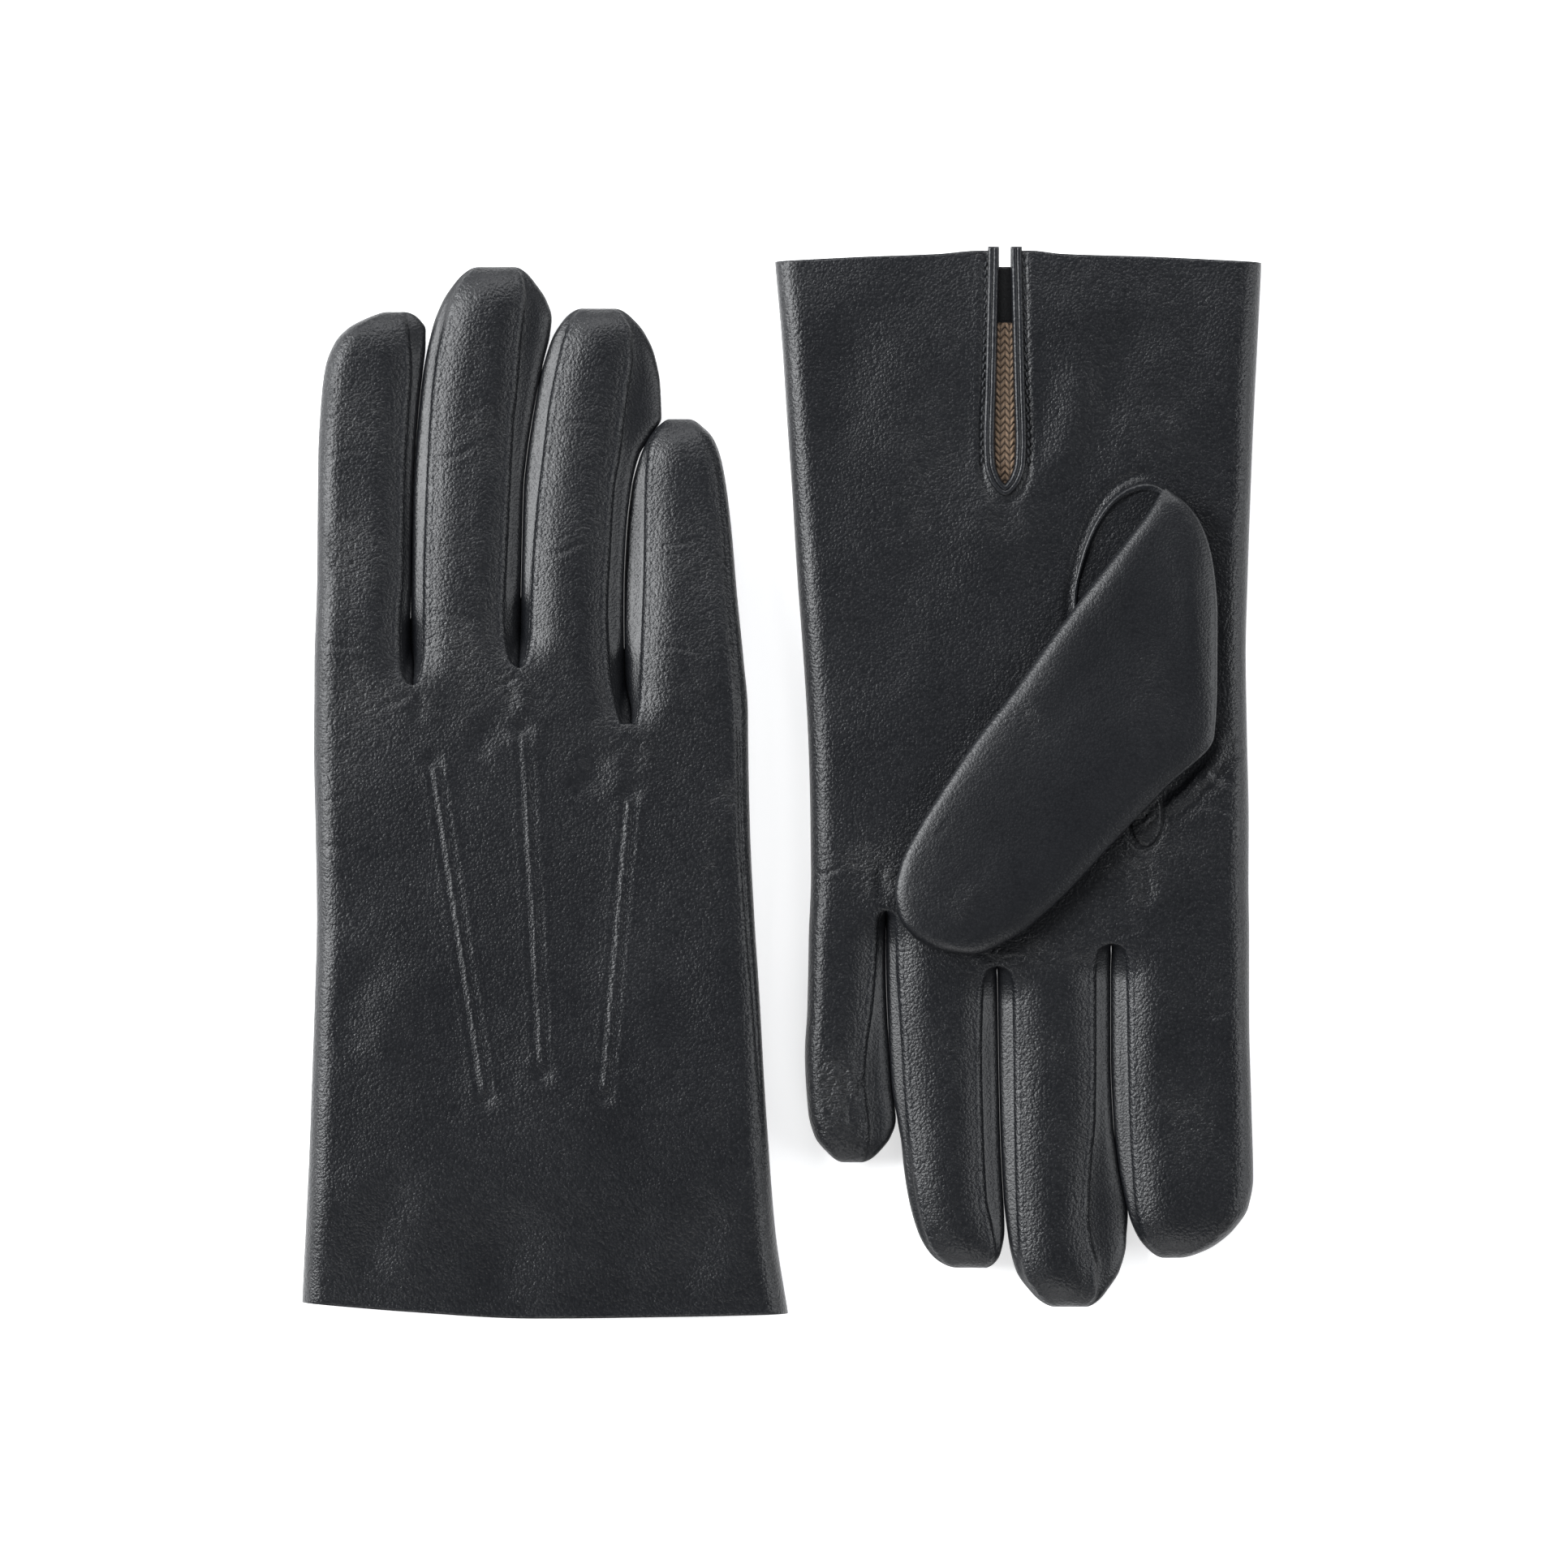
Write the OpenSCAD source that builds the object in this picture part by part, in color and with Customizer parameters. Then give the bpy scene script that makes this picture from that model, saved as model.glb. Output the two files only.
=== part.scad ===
// A pair of gentleman's dress gloves in black leather with a knitted lining.
// The right glove lies back up with its thumb folded beneath it.
// The left glove lies palm up, turned end for end, with its thumb folded over the palm.
// Each glove has its own flat pattern: x runs from the index side to the little side,
// y runs from the cuff edge to the fingertips, and z is up.

/* [Overall size] */
// Length of a glove from the cuff edge to the middle fingertip
glove_length = 251; // [209:1:302]
// Width of a glove lying flat, across the palm
palm_width = 105; // [87:1:126]
// Thickness of the hand and the fingers as they lie
hand_thickness = 12; // [10:0.5:14.5]
// Thickness of the folded thumb
thumb_thickness = 7.2; // [6.6:0.2:8.6]
// Narrowest gap between the two gloves
pair_gap = 4; // [2:1:40]

/* [Layers] */
// Thickness of the leather
leather_thickness = 0.9; // [0.6:0.1:1.1]
// Thickness of the knitted lining
lining_thickness = 1; // [0.6:0.1:1.2]

/* [Cuff] */
// Depth of the leather facing inside the cuff
hem_depth = 15; // [10:1:22]
// Height by which the fingers of the right glove sag at the tips
finger_sag = 3; // [0:0.5:6]
// Height of the open cuff of the right glove
mouth_height = 16.8; // [15:0.2:20]
// Length of the vent from the cuff edge
vent_length = 54.6; // [42:0.2:58]
// Width of the vent at the cuff edge
vent_mouth = 3.7; // [3:0.1:5]
// Width of the vent at its widest, near the closed end
vent_belly = 5.9; // [5:0.1:7]
// Width of the leather binding round the vent
binding_width = 1.8; // [1.2:0.1:2.4]
// Height of the binding above the palm
binding_height = 0.5; // [0.3:0.1:0.6]
// Number of stitches along each side of the vent
vent_stitches = 20; // [10:1:24]

/* [Points] */
// Width of each raised line on the back
point_width = 2.4; // [1.6:0.1:3]
// Height of each raised line on the back
point_height = 0.6; // [0.3:0.1:0.6]
// Number of stitches along each side of a raised line
point_stitches = 20; // [10:1:26]

/* [Fingers] */
// Gap at each finger root, where the finger turns
root_gap = 0.4; // [0.3:0.1:0.6]
// Extra gap between neighbouring fingers
finger_gap = 0; // [0:0.1:1]
// Length over which a fingertip rounds off
tip_round = 14; // [12:1:16]

/* [Hidden] */
$fn = 32;
eps = 0.01;
sx = palm_width / 105;
sy = glove_length / 251;
wall = leather_thickness + lining_thickness;
pair_spacing = 115 * sx + pair_gap;
edge_r = 5;

// The left glove rests on its raised lines, the right one on its folded thumb.
rest_left = 0.6;
rest_right = thumb_thickness + 0.8;
right_top = rest_right + hand_thickness;
left_palm = rest_left + hand_thickness;
thumb_clear = 0.4;

// Rows along the hand. The cuff of the right glove slopes up to the palm.
back_ramp = 45 * sy;
palm_ramp = max(vent_length + 2, 56 * sy);

// Finger roots, in the order index, middle, ring, little.
root_y = [164 * sy, 169 * sy, 169 * sy, 156.5 * sy];

// Edges of the hand: y, x on the index side, x on the little side.
hand_edges = [
    [0, -56, 61], [20, -55, 58.5], [40, -54, 57], [55, -53.4, 56],
    [75, -52.7, 55], [95, -52.2, 53.7], [115, -52.5, 52.7],
    [135, -52.9, 52.5], [155, -52.8, 52.4], [175, -52.8, 52.4]
];

// Lines between the fingers at the root, for the right and the left glove.
lanes = [[-30.2, -4.4, 21.4], [-19.9, 7.1, 34.5]];

// Fingers of the right glove: tip, then y with the two edges.
right_fingers = [
    [240, [[164, -52.3, -30.9], [198, -52, -30], [217, -51.4, -29.2], [230, -50.2, -29]]],
    [251, [[169, -29.4, -5], [198, -28.8, -3.1], [217, -27.4, -0.7], [237, -24.6, 3.9]]],
    [241, [[169, -3.9, 20.6], [198, -2, 22.6], [208, -1, 25], [217, 0.5, 28.6], [230, 3.2, 28.6]]],
    [215, [[156, 22.4, 50.4], [174, 22.2, 48.8], [198, 24, 46.4], [208, 26.6, 45]]]
];

// Fingers of the left glove.
left_fingers = [
    [240, [[164, -53, -20.6], [200, -53.8, -20.6], [218, -54, -22.2], [230, -53.4, -25]]],
    [251, [[169, -19.4, 6.5], [200, -19.6, 6.6], [218, -21.2, 5.9], [236, -23, 4.9]]],
    [242, [[169, 7.6, 34], [200, 7.7, 32.6], [218, 7, 30.2], [234, 6.2, 27.4]]],
    [217, [[156, 35.4, 53.4], [190, 35, 54], [205, 33.8, 53.4], [212, 33.6, 52]]]
];
fingers = [right_fingers, left_fingers];
finger_names = ["index", "middle", "ring", "little"];

// The folded thumb: edge towards the cuff, edge towards the fingers, fullness.
thumb_rows = [
    [-28.9, 53.4, -31.5, 53.9, 0.25], [-26.5, 61.5, -38.5, 59.5, 0.6],
    [-21.5, 70, -42.9, 67.5, 0.9], [-16.2, 76.4, -44.6, 80, 1],
    [-7, 89, -44.8, 101, 1], [-0.5, 98.5, -43.5, 116, 1],
    [8, 109.5, -28, 130.8, 1], [18, 123.5, -14, 146.6, 1],
    [26.7, 136.5, 0, 160.3, 1], [31, 144.3, 8.5, 165.5, 0.97],
    [32.3, 151, 15, 167.2, 0.88], [31.4, 157.5, 22, 166.2, 0.65],
    [29.5, 160.8, 26, 164.2, 0.35]
];
// The right thumb is tucked nearer to the cuff, clear of the little finger as it curls.
thumb_tuck = [12, 0];

hole = [-27, 86];
hole_size = [18, 32];

black = [0.13, 0.135, 0.15];
black_edge = [0.09, 0.095, 0.105];
thread = [0.16, 0.165, 0.18];
brown = [0.42, 0.34, 0.27];

// ---- heights -------------------------------------------------------------

// Height of the outside of the back: g is 0 for the right glove, 1 for the left.
function back_z(g, y) = g == 1 ? rest_left
    : lookup(y, [[0, mouth_height], [back_ramp, right_top]]);

// Height of the outside of the palm.
function palm_z(g, y) = g == 1 ? left_palm
    : lookup(y, [[0, 0], [palm_ramp, rest_right]]);

// Height between back (-1) and palm (+1), brought in by t on both sides.
function level(g, y, v, t) =
    let (b = back_z(g, y), p = palm_z(g, y), half = (p - b) / 2)
    (b + p) / 2 + v * (half - sign(half) * t);

// Palm height along a finger. On the right glove the fingers sag towards the tips.
function finger_palm(g, f, y) =
    let (tip = fingers[g][f][0] * sy, full = tip - tip_round)
    g == 1 ? left_palm
    : rest_right - finger_sag * (min(max(y, root_y[f]), full) - root_y[f]) / (full - root_y[f]);

function pick(table, y, c) = lookup(y / sy, [for (r = table) [r[0], r[c]]]) * sx;

// ---- rings ---------------------------------------------------------------

arc = [180, 150, 120, 90];
arc_right = [90, 60, 30, 0, -30, -60, -90];
arc_left = [-90, -120, -150];

// One ring round the hand at y, brought in by t.
function hand_ring(g, y, t) =
    let (
        xl = pick(hand_edges, y, 1) + t,
        xr = pick(hand_edges, y, 2) - t,
        r = edge_r - t,
        l = lanes[g] * sx,
        flat = concat(
            [for (a = arc) [xl + r + r * cos(a), -sin(a)]],
            [for (b = l) [b, -1]],
            [for (a = arc_right) [xr - r + r * cos(a), -sin(a)]],
            [for (n = [2:-1:0]) [l[n], 1]],
            [for (a = arc_left) [xl + r + r * cos(a), -sin(a)]]
        )
    )
    [for (p = flat) [p[0], y, level(g, y, p[1], t)]];

// Which finger a strip of the hand leads to.
function lane_of(i) = i == 4 || i == 15 ? 1 : i == 5 || i == 14 ? 2 : i >= 6 && i <= 13 ? 3 : 0;

hand_rows = concat([0, hem_depth, back_ramp, palm_ramp, 85 * sy, 120 * sy, root_y[3], root_y[0], root_y[1]]);
lining_rows = [for (n = [1:len(hand_rows) - 1]) hand_rows[n]];

function power(c, e) = sign(c) * pow(abs(c), e);

// A closed ring about a middle point, wide along u and thick along z.
function oval(mid, u, half_w, half_h) =
    [for (n = [0:15]) let (a = n * 22.5)
        [mid[0] + u[0] * half_w * power(cos(a), 0.68),
         mid[1] + u[1] * half_w * power(cos(a), 0.68),
         mid[2] + half_h * power(sin(a), 0.68)]];

// Rings of a finger from the root to the tip, brought in by t.
function finger_rings(g, f, t) =
    let (
        tip = fingers[g][f][0] * sy,
        start = root_y[f] + root_gap,
        full = tip - tip_round,
        body = [for (n = [0, 0.4, 0.75, 1]) [start + n * (full - start), 1, 1, 0]],
        end = [
            [tip - 8, 0.95, 0.96, 0.4], [tip - 3.6, 0.82, 0.84, 0.75],
            [tip - 1.2, 0.62, 0.64, 0.92], [tip, 0.4, 0.36, 1]
        ]
    )
    [for (r = concat(body, end))
        let (
            xl = pick(fingers[g][f][1], r[0], 1) + finger_gap / 2,
            xr = pick(fingers[g][f][1], r[0], 2) - finger_gap / 2,
            way = g == 1 ? -1 : 1,
            z = finger_palm(g, f, r[0]) + way * hand_thickness / 2
        )
        oval([(xl + xr) / 2, r[0] - r[3] * t, z], [1, 0],
            (xr - xl) / 2 * r[1] - t, max(hand_thickness / 2 * r[2] - t, 0.2))];

thumb_mid = [thumb_thickness / 2, left_palm + thumb_clear + thumb_thickness / 2];

// Place along the glove of a point of the thumb.
function tucked(g, y) = sy * (y - thumb_tuck[g] * max(0, y - 98) / 69);

// Rings of the folded thumb from the base to the tip, brought in by t.
function thumb_rings(g, t) =
    [for (n = [0:len(thumb_rows) - 1])
        let (
            r = thumb_rows[n],
            a = [r[0] * sx, tucked(g, r[1])],
            b = [r[2] * sx, tucked(g, r[3])],
            d = norm(a - b),
            u = (a - b) / d,
            along = [-u[1], u[0]],
            shift = (n == 0 ? t : n == len(thumb_rows) - 1 ? -t : n == 1 ? t / 2 : 0),
            m = (a + b) / 2 + along * shift
        )
        oval([m[0], m[1], thumb_mid[g]], u, max(d / 2 - t, 0.3),
            max(thumb_thickness / 2 * r[4] - t, 0.15))];

// ---- shells --------------------------------------------------------------

// A thin shell between two sets of rings. The cells that it has are marked in the table;
// ends says which ends are closed: 0 none, 1 the far end, 2 both.
module shell(outer, inner, has, ends, turn) {
    rows = len(outer);
    n = len(outer[0]);
    all = rows * n;
    function o(k, i) = k * n + i % n;
    function q(k, i) = all + k * n + i % n;
    function on(k, i) = k >= 0 && k < rows - 1 && has[k][(i + n) % n];
    function edge(a, b, c, d) = [[b, a, c], [b, c, d]];
    skin = [
        for (k = [0:rows - 2])
            for (i = [0:n - 1])
                if (on(k, i))
                    each [
                        [o(k, i), o(k, i + 1), o(k + 1, i + 1)],
                        [o(k, i), o(k + 1, i + 1), o(k + 1, i)],
                        [q(k, i), q(k + 1, i + 1), q(k, i + 1)],
                        [q(k, i), q(k + 1, i), q(k + 1, i + 1)]
                    ]
    ];
    walls = [
        for (k = [0:rows - 2])
            for (i = [0:n - 1])
                if (on(k, i))
                    each concat(
                        on(k - 1, i) || (k == 0 && ends == 2) ? []
                            : edge(o(k, i), o(k, i + 1), q(k, i), q(k, i + 1)),
                        on(k + 1, i) || (k == rows - 2 && ends > 0) ? []
                            : edge(o(k + 1, i + 1), o(k + 1, i), q(k + 1, i + 1), q(k + 1, i)),
                        on(k, i + 1) ? []
                            : edge(o(k, i + 1), o(k + 1, i + 1), q(k, i + 1), q(k + 1, i + 1)),
                        on(k, i - 1) ? []
                            : edge(o(k + 1, i), o(k, i), q(k + 1, i), q(k, i))
                    )
    ];
    far = ends > 0 && has[rows - 2][0] ? [
        [for (i = [0:n - 1]) o(rows - 1, i)],
        [for (i = [n - 1:-1:0]) q(rows - 1, i)]
    ] : [];
    near = ends == 2 && has[0][0] ? [
        [for (i = [n - 1:-1:0]) o(0, i)],
        [for (i = [0:n - 1]) q(0, i)]
    ] : [];
    faces = concat(skin, walls, far, near);
    points = concat([for (r = outer) each r], [for (r = inner) each r]);
    polyhedron(
        points = points,
        faces = turn ? [for (f = faces) [for (m = [len(f) - 1:-1:0]) f[m]]] : faces,
        convexity = 8
    );
}

// A low ridge along a path, with a wide foot and a narrower top.
module ridge(path, foot, top, height) {
    n = len(path);
    points = [
        for (k = [0:n - 1])
            let (
                a = path[max(k - 1, 0)],
                b = path[min(k + 1, n - 1)],
                d = norm([b[0] - a[0], b[1] - a[1]]),
                u = [(b[1] - a[1]) / d, -(b[0] - a[0]) / d, 0],
                up = [0, 0, height]
            )
            each [path[k] - u * foot / 2, path[k] + u * foot / 2,
                  path[k] + u * top / 2 + up, path[k] - u * top / 2 + up]
    ];
    sides = [
        for (k = [0:n - 2])
            for (i = [0:3])
                each [
                    [4 * k + i, 4 * k + (i + 1) % 4, 4 * k + 4 + (i + 1) % 4],
                    [4 * k + i, 4 * k + 4 + (i + 1) % 4, 4 * k + 4 + i]
                ]
    ];
    faces = concat(sides, [[3, 2, 1, 0]], [[for (i = [0:3]) 4 * n - 4 + i]]);
    polyhedron(
        points = points,
        faces = height > 0 ? faces : [for (f = faces) [for (m = [len(f) - 1:-1:0]) f[m]]],
        convexity = 4
    );
}

// ---- placing -------------------------------------------------------------

// Puts a glove in its place: the right one upright, the left one turned round.
module place(g) {
    if (g == 0) translate([-pair_spacing / 2, -126.5 * sy, 0]) children();
    if (g == 1) translate([pair_spacing / 2, 126.5 * sy, 0]) rotate([0, 0, 180]) children();
}

// Lays flat pieces on the palm near the cuff, with z pointing out of the palm.
module on_cuff(g) {
    if (g == 0) rotate([atan(rest_right / palm_ramp), 0, 0]) mirror([0, 0, 1]) children();
    if (g == 1) translate([0, 0, left_palm]) children();
}

// ---- cuts ----------------------------------------------------------------

vent_x = 5.9 * sx;

// Outline of the vent, made wider all round by w.
module vent_outline(w) {
    end = w > 0 ? w * 1.6 : 0;
    polygon([
        [vent_x - vent_mouth / 2 - w, -3], [vent_x + vent_mouth / 2 + w, -3],
        [vent_x + vent_belly / 2 + w, vent_length - 8], [vent_x + 0.6, vent_length + end],
        [vent_x - 0.6, vent_length + end], [vent_x - vent_belly / 2 - w, vent_length - 8]
    ]);
}

module vent_cut(g) {
    on_cuff(g) translate([0, 0, -wall - 1]) linear_extrude(wall + 3) vent_outline(binding_width);
}

// The thumb hole in the palm, and the same hole in the thumb.
module hole_cut(g, grow) {
    z = g == 1 ? left_palm : rest_right;
    translate([hole[0] * sx, hole[1] * sy, z - wall - 1])
        linear_extrude(2 * wall + 2)
            polygon([for (a = [0:18:342])
                [(hole_size[0] * sx / 2 + grow) * cos(a), (hole_size[1] * sy / 2 + grow) * sin(a)]]);
}

// ---- the hand ------------------------------------------------------------

hand_cells = [for (k = [0:len(hand_rows) - 2])
    [for (i = [0:19]) hand_rows[k + 1] <= root_y[lane_of(i)] + eps]];
lining_cells = [for (k = [1:len(hand_rows) - 2]) hand_cells[k]];

// Back and palm, one piece of leather with the vent and the thumb hole.
module hand_leather(g) {
    color(black) place(g) difference() {
        shell([for (y = hand_rows) hand_ring(g, y, 0)],
            [for (y = hand_rows) hand_ring(g, y, leather_thickness)], hand_cells, 0, g == 0);
        vent_cut(g);
        hole_cut(g, 0);
    }
}

// Knitted lining of the hand.
module hand_lining(g) {
    color(brown) place(g) difference() {
        shell([for (y = lining_rows) hand_ring(g, y, leather_thickness)],
            [for (y = lining_rows) hand_ring(g, y, wall)], lining_cells, 0, g == 0);
        vent_cut(g);
        hole_cut(g, 0);
    }
}

// Leather facing turned in at the cuff.
module hem_facing(g) {
    color(black_edge) place(g) difference() {
        shell([for (y = [0, hem_depth]) hand_ring(g, y, leather_thickness)],
            [for (y = [0, hem_depth]) hand_ring(g, y, wall - 0.2)], [hand_cells[0]], 0, g == 0);
        vent_cut(g);
    }
}

// Leather binding round the vent.
module vent_binding(g) {
    color(black_edge) place(g) on_cuff(g) translate([0, 0, -wall])
        linear_extrude(wall + binding_height)
            intersection() {
                difference() {
                    vent_outline(binding_width);
                    vent_outline(0);
                }
                translate([-100, 0.4]) square([200, 200]);
            }
}

// Stitches over the outer edge of the binding.
module vent_stitching(g) {
    run = vent_length - 12;
    color(thread) place(g) on_cuff(g)
        for (s = [-1, 1])
            for (n = [0:vent_stitches - 1])
                let (
                    y = 2 + run * n / (vent_stitches - 1),
                    w = (vent_mouth + (vent_belly - vent_mouth) * y / (vent_length - 8)) / 2 + binding_width
                )
                translate([vent_x + s * (w + 0.9) - 0.6, y, 0])
                    cube([1.2, 0.5, 0.35]);
}

// Raised lines on the back: bottom end and top end of each.
point_ends = [
    [[-11.6, 53], [-23.7, 131.3]], [[2.3, 58.7], [-2.3, 138.8]], [[17.1, 53], [23.2, 123.4]]
];

function point_path(g, n) = [for (e = point_ends[n])
    [e[0] * sx, e[1] * sy, g == 1 ? rest_left : right_top]];

module points(g) {
    color(black) place(g)
        for (n = [0:2])
            ridge(point_path(g, n), point_width, point_width * 0.6, g == 1 ? -point_height : point_height);
}

// Stitches along both feet of each raised line.
module point_stitching(g) {
    color(thread) place(g)
        for (n = [0:2])
            for (s = [-1, 1])
                for (m = [0:point_stitches - 1])
                    let (
                        p = point_path(g, n),
                        d = p[1] - p[0],
                        turn = atan2(d[1], d[0]),
                        at = p[0] + d * (m + 0.5) / point_stitches
                    )
                    translate(at) rotate([0, 0, turn])
                        translate([-1.1, s * (point_width / 2 + 0.4) - 0.25, g == 1 ? -0.3 : 0])
                            cube([2.2, 0.5, 0.3]);
}

// Seam along the little-finger side of the hand, near the edge of the back.
module outseam(g) {
    rows = [for (y = [1, hem_depth, back_ramp, 85 * sy, 120 * sy, root_y[3] - 1]) y];
    color(black_edge) place(g)
        ridge([for (y = rows) [pick(hand_edges, y, 2) - edge_r - 1, y, back_z(g, y)]],
            1.2, 0.7, g == 1 ? -0.4 : 0.4);
}

// Part of the thumb seam that shows on the palm, beside the thumb's folded edge.
thumb_arc = [[-25.2, 53.4], [-19.8, 57.6], [-15.6, 62.8], [-12, 69.8], [-10.2, 76], [-9.4, 82]];

module thumb_seam(g) {
    color(black_edge) place(g)
        ridge([for (p = thumb_arc) [p[0] * sx, max(p[1] * sy, palm_ramp + 0.5), g == 1 ? left_palm : rest_right]],
            1.4, 0.7, g == 1 ? 0.35 : -0.35);
}

// Small oval gusset at the crotch of the thumb, on the palm.
module quirk(g) {
    z = g == 1 ? left_palm : rest_right;
    color(black) place(g) translate([-29.5 * sx, 139.6 * sy, g == 1 ? z : z - 0.5])
        rotate([0, 0, 30]) linear_extrude(0.5)
            polygon([for (a = [0:20:340]) [3.6 * sx * cos(a), 2 * sx * sin(a)]]);
}

// ---- the digits ----------------------------------------------------------

// Strip along the side of a finger: 1 towards the little finger, 2 towards the index.
function strip_of(k, i) = k > 5 ? 0 : i == 15 || i == 0 ? 1 : i == 7 || i == 8 ? 2 : 0;

// The sides of each finger that have a strip.
strips = [[1], [1, 2], [1, 2], [2]];

function has_strip(f, s) = len([for (m = strips[f]) if (m == s) m]) > 0;

function finger_cells(f, s) = [for (k = [0:6]) [for (i = [0:15])
    let (c = strip_of(k, i))
    s == 0 ? (c == 0 || !has_strip(f, c)) : s < 3 ? c == s : true]];

// Part of a finger's shell: s is 0 for back and palm, 1 or 2 for a side strip, 3 for all.
module finger_shell(g, f, s, t0, t1) {
    shell(finger_rings(g, f, t0), finger_rings(g, f, t1), finger_cells(f, s), s == 0 || s == 3 ? 1 : 0, true);
}

module stall(g, f) {
    color(black) place(g) finger_shell(g, f, 0, 0, leather_thickness);
}

module fourchette(g, f, s) {
    color(black_edge) place(g) finger_shell(g, f, s, 0, leather_thickness);
}

module finger_lining(g, f) {
    color(brown) place(g) finger_shell(g, f, 3, leather_thickness, wall);
}

// The thumb is open towards the palm, over the thumb hole.
function thumb_open(g, k, i) = k >= 3 && k <= 4 && (g == 1 ? i == 11 || i == 12 : i == 3 || i == 4);
function thumb_cells(g) = [for (k = [0:len(thumb_rows) - 2]) [for (i = [0:15]) !thumb_open(g, k, i)]];

// One layer of the folded thumb.
module thumb_layer(g, t0, t1) {
    place(g) shell(thumb_rings(g, t0), thumb_rings(g, t1), thumb_cells(g), 2, true);
}

// ---- pieces --------------------------------------------------------------

glove_names = ["right", "left"];
hand_pieces = ["trank", "hand_lining", "hem_facing", "vent_binding", "vent_stitching", "points",
    "point_stitching", "outseam", "thumb_seam", "quirk"];
strip_names = ["", "outer_fourchette", "inner_fourchette"];

for (g = [0, 1]) {
    hand_leather(g);
    hand_lining(g);
    hem_facing(g);
    vent_binding(g);
    vent_stitching(g);
    points(g);
    point_stitching(g);
    outseam(g);
    thumb_seam(g);
    quirk(g);
    color(black) thumb_layer(g, 0, leather_thickness);
    color(brown) thumb_layer(g, leather_thickness, wall);
    for (f = [0:3]) {
        stall(g, f);
        finger_lining(g, f);
        for (s = strips[f])
            fourchette(g, f, s);
    }
}
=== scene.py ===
"""A pair of black leather dress gloves: a right glove lying back up, and a left glove lying palm up.

Each glove is drawn in its own flat pattern, in millimetres: x runs from the index side to the
little side, y from the cuff edge to the fingertips, and z is up from the surface they lie on.
"""
import math

import bpy
import bmesh
import numpy as np
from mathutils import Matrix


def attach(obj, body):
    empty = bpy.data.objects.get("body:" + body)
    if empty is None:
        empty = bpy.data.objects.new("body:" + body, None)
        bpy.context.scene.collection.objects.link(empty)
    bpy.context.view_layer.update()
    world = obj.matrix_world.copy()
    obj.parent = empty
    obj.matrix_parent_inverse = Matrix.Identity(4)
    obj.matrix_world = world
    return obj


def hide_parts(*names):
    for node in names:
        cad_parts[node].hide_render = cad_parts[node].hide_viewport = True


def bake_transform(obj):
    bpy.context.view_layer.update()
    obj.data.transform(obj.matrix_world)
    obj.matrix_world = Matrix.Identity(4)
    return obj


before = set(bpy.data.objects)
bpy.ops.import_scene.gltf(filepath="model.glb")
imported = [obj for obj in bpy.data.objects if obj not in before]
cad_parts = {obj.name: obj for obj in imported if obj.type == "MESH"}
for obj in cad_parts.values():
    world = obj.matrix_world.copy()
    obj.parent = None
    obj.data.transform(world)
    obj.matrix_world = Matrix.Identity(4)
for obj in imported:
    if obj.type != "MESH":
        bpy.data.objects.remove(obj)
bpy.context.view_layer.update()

bl_info = {
    "name": "Leather dress gloves",
    "version": (1, 0, 0),
    "blender": (4, 5, 0),
    "location": "3D View > Sidebar > Gloves",
    "description": "Builds a pair of lined leather dress gloves with points, fourchettes and a bound vent",
    "category": "Mesh",
}

RIGHT, LEFT = 0, 1
SIDES = ("right", "left")
FINGERS = ("index", "middle", "ring", "little")
HALF_GAP = 0.00295  # metres, half of the widest gap of the vent as it is drawn

# ---- settings --------------------------------------------------------------


class GloveSettings(bpy.types.PropertyGroup):
    """Sizes and colours of the gloves."""
    wrinkle: bpy.props.FloatProperty(
        name="Wrinkles", description="Depth of the creases, as a share of the usual depth",
        default=1.0, min=0.0, max=2.0, subtype="FACTOR")
    softness: bpy.props.FloatProperty(
        name="Softness", description="Height of the broad waves in the leather",
        default=0.00032, min=0.0, max=0.001, unit="LENGTH")
    grain: bpy.props.FloatProperty(
        name="Grain size", description="Distance between the pebbles of the grain",
        default=0.00065, min=0.0003, max=0.002, unit="LENGTH")
    leather: bpy.props.FloatVectorProperty(
        name="Leather", description="Colour of the leather", subtype="COLOR",
        size=3, default=(0.0044, 0.0049, 0.0062), min=0.0, max=1.0)
    knit: bpy.props.FloatVectorProperty(
        name="Lining", description="Colour of the knitted lining", subtype="COLOR",
        size=3, default=(0.17, 0.115, 0.075), min=0.0, max=1.0)
    thread: bpy.props.FloatVectorProperty(
        name="Thread", description="Colour of the sewing thread", subtype="COLOR",
        size=3, default=(0.011, 0.012, 0.014), min=0.0, max=1.0)
    gap: bpy.props.FloatProperty(
        name="Vent gap", description="Half of the widest gap of the vent",
        default=HALF_GAP, min=0.002, max=0.004, unit="LENGTH")


def settings():
    return bpy.context.scene.gloves


# ---- curves and numbers ----------------------------------------------------


def smooth(a, b, x):
    """0 before a, 1 after b, and a smooth step between."""
    t = np.clip((x - a) / (b - a), 0, 1)
    return t * t * (3 - 2 * t)


def curve(points, y):
    """A smooth curve through (y, value) points that never swings past them, held level outside."""
    p = np.array(points, float)
    x, v = p[:, 0], p[:, 1]
    h, d = np.diff(x), np.diff(v) / np.diff(x)
    m = np.zeros(len(x))
    same = d[1:] * d[:-1] > 0
    m[1:-1] = np.where(same, 2 * d[1:] * d[:-1] / np.where(same, d[1:] + d[:-1], 1), 0)
    m[0], m[-1] = d[0], d[-1]
    q = np.clip(np.asarray(y, float), x[0], x[-1])
    i = np.clip(np.searchsorted(x, q, side="right") - 1, 0, len(h) - 1)
    t = (q - x[i]) / h[i]
    return ((1 + 2 * t) * (1 - t) ** 2 * v[i] + t * (1 - t) ** 2 * h[i] * m[i]
            + t * t * (3 - 2 * t) * v[i + 1] + t * t * (t - 1) * h[i] * m[i + 1])


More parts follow.
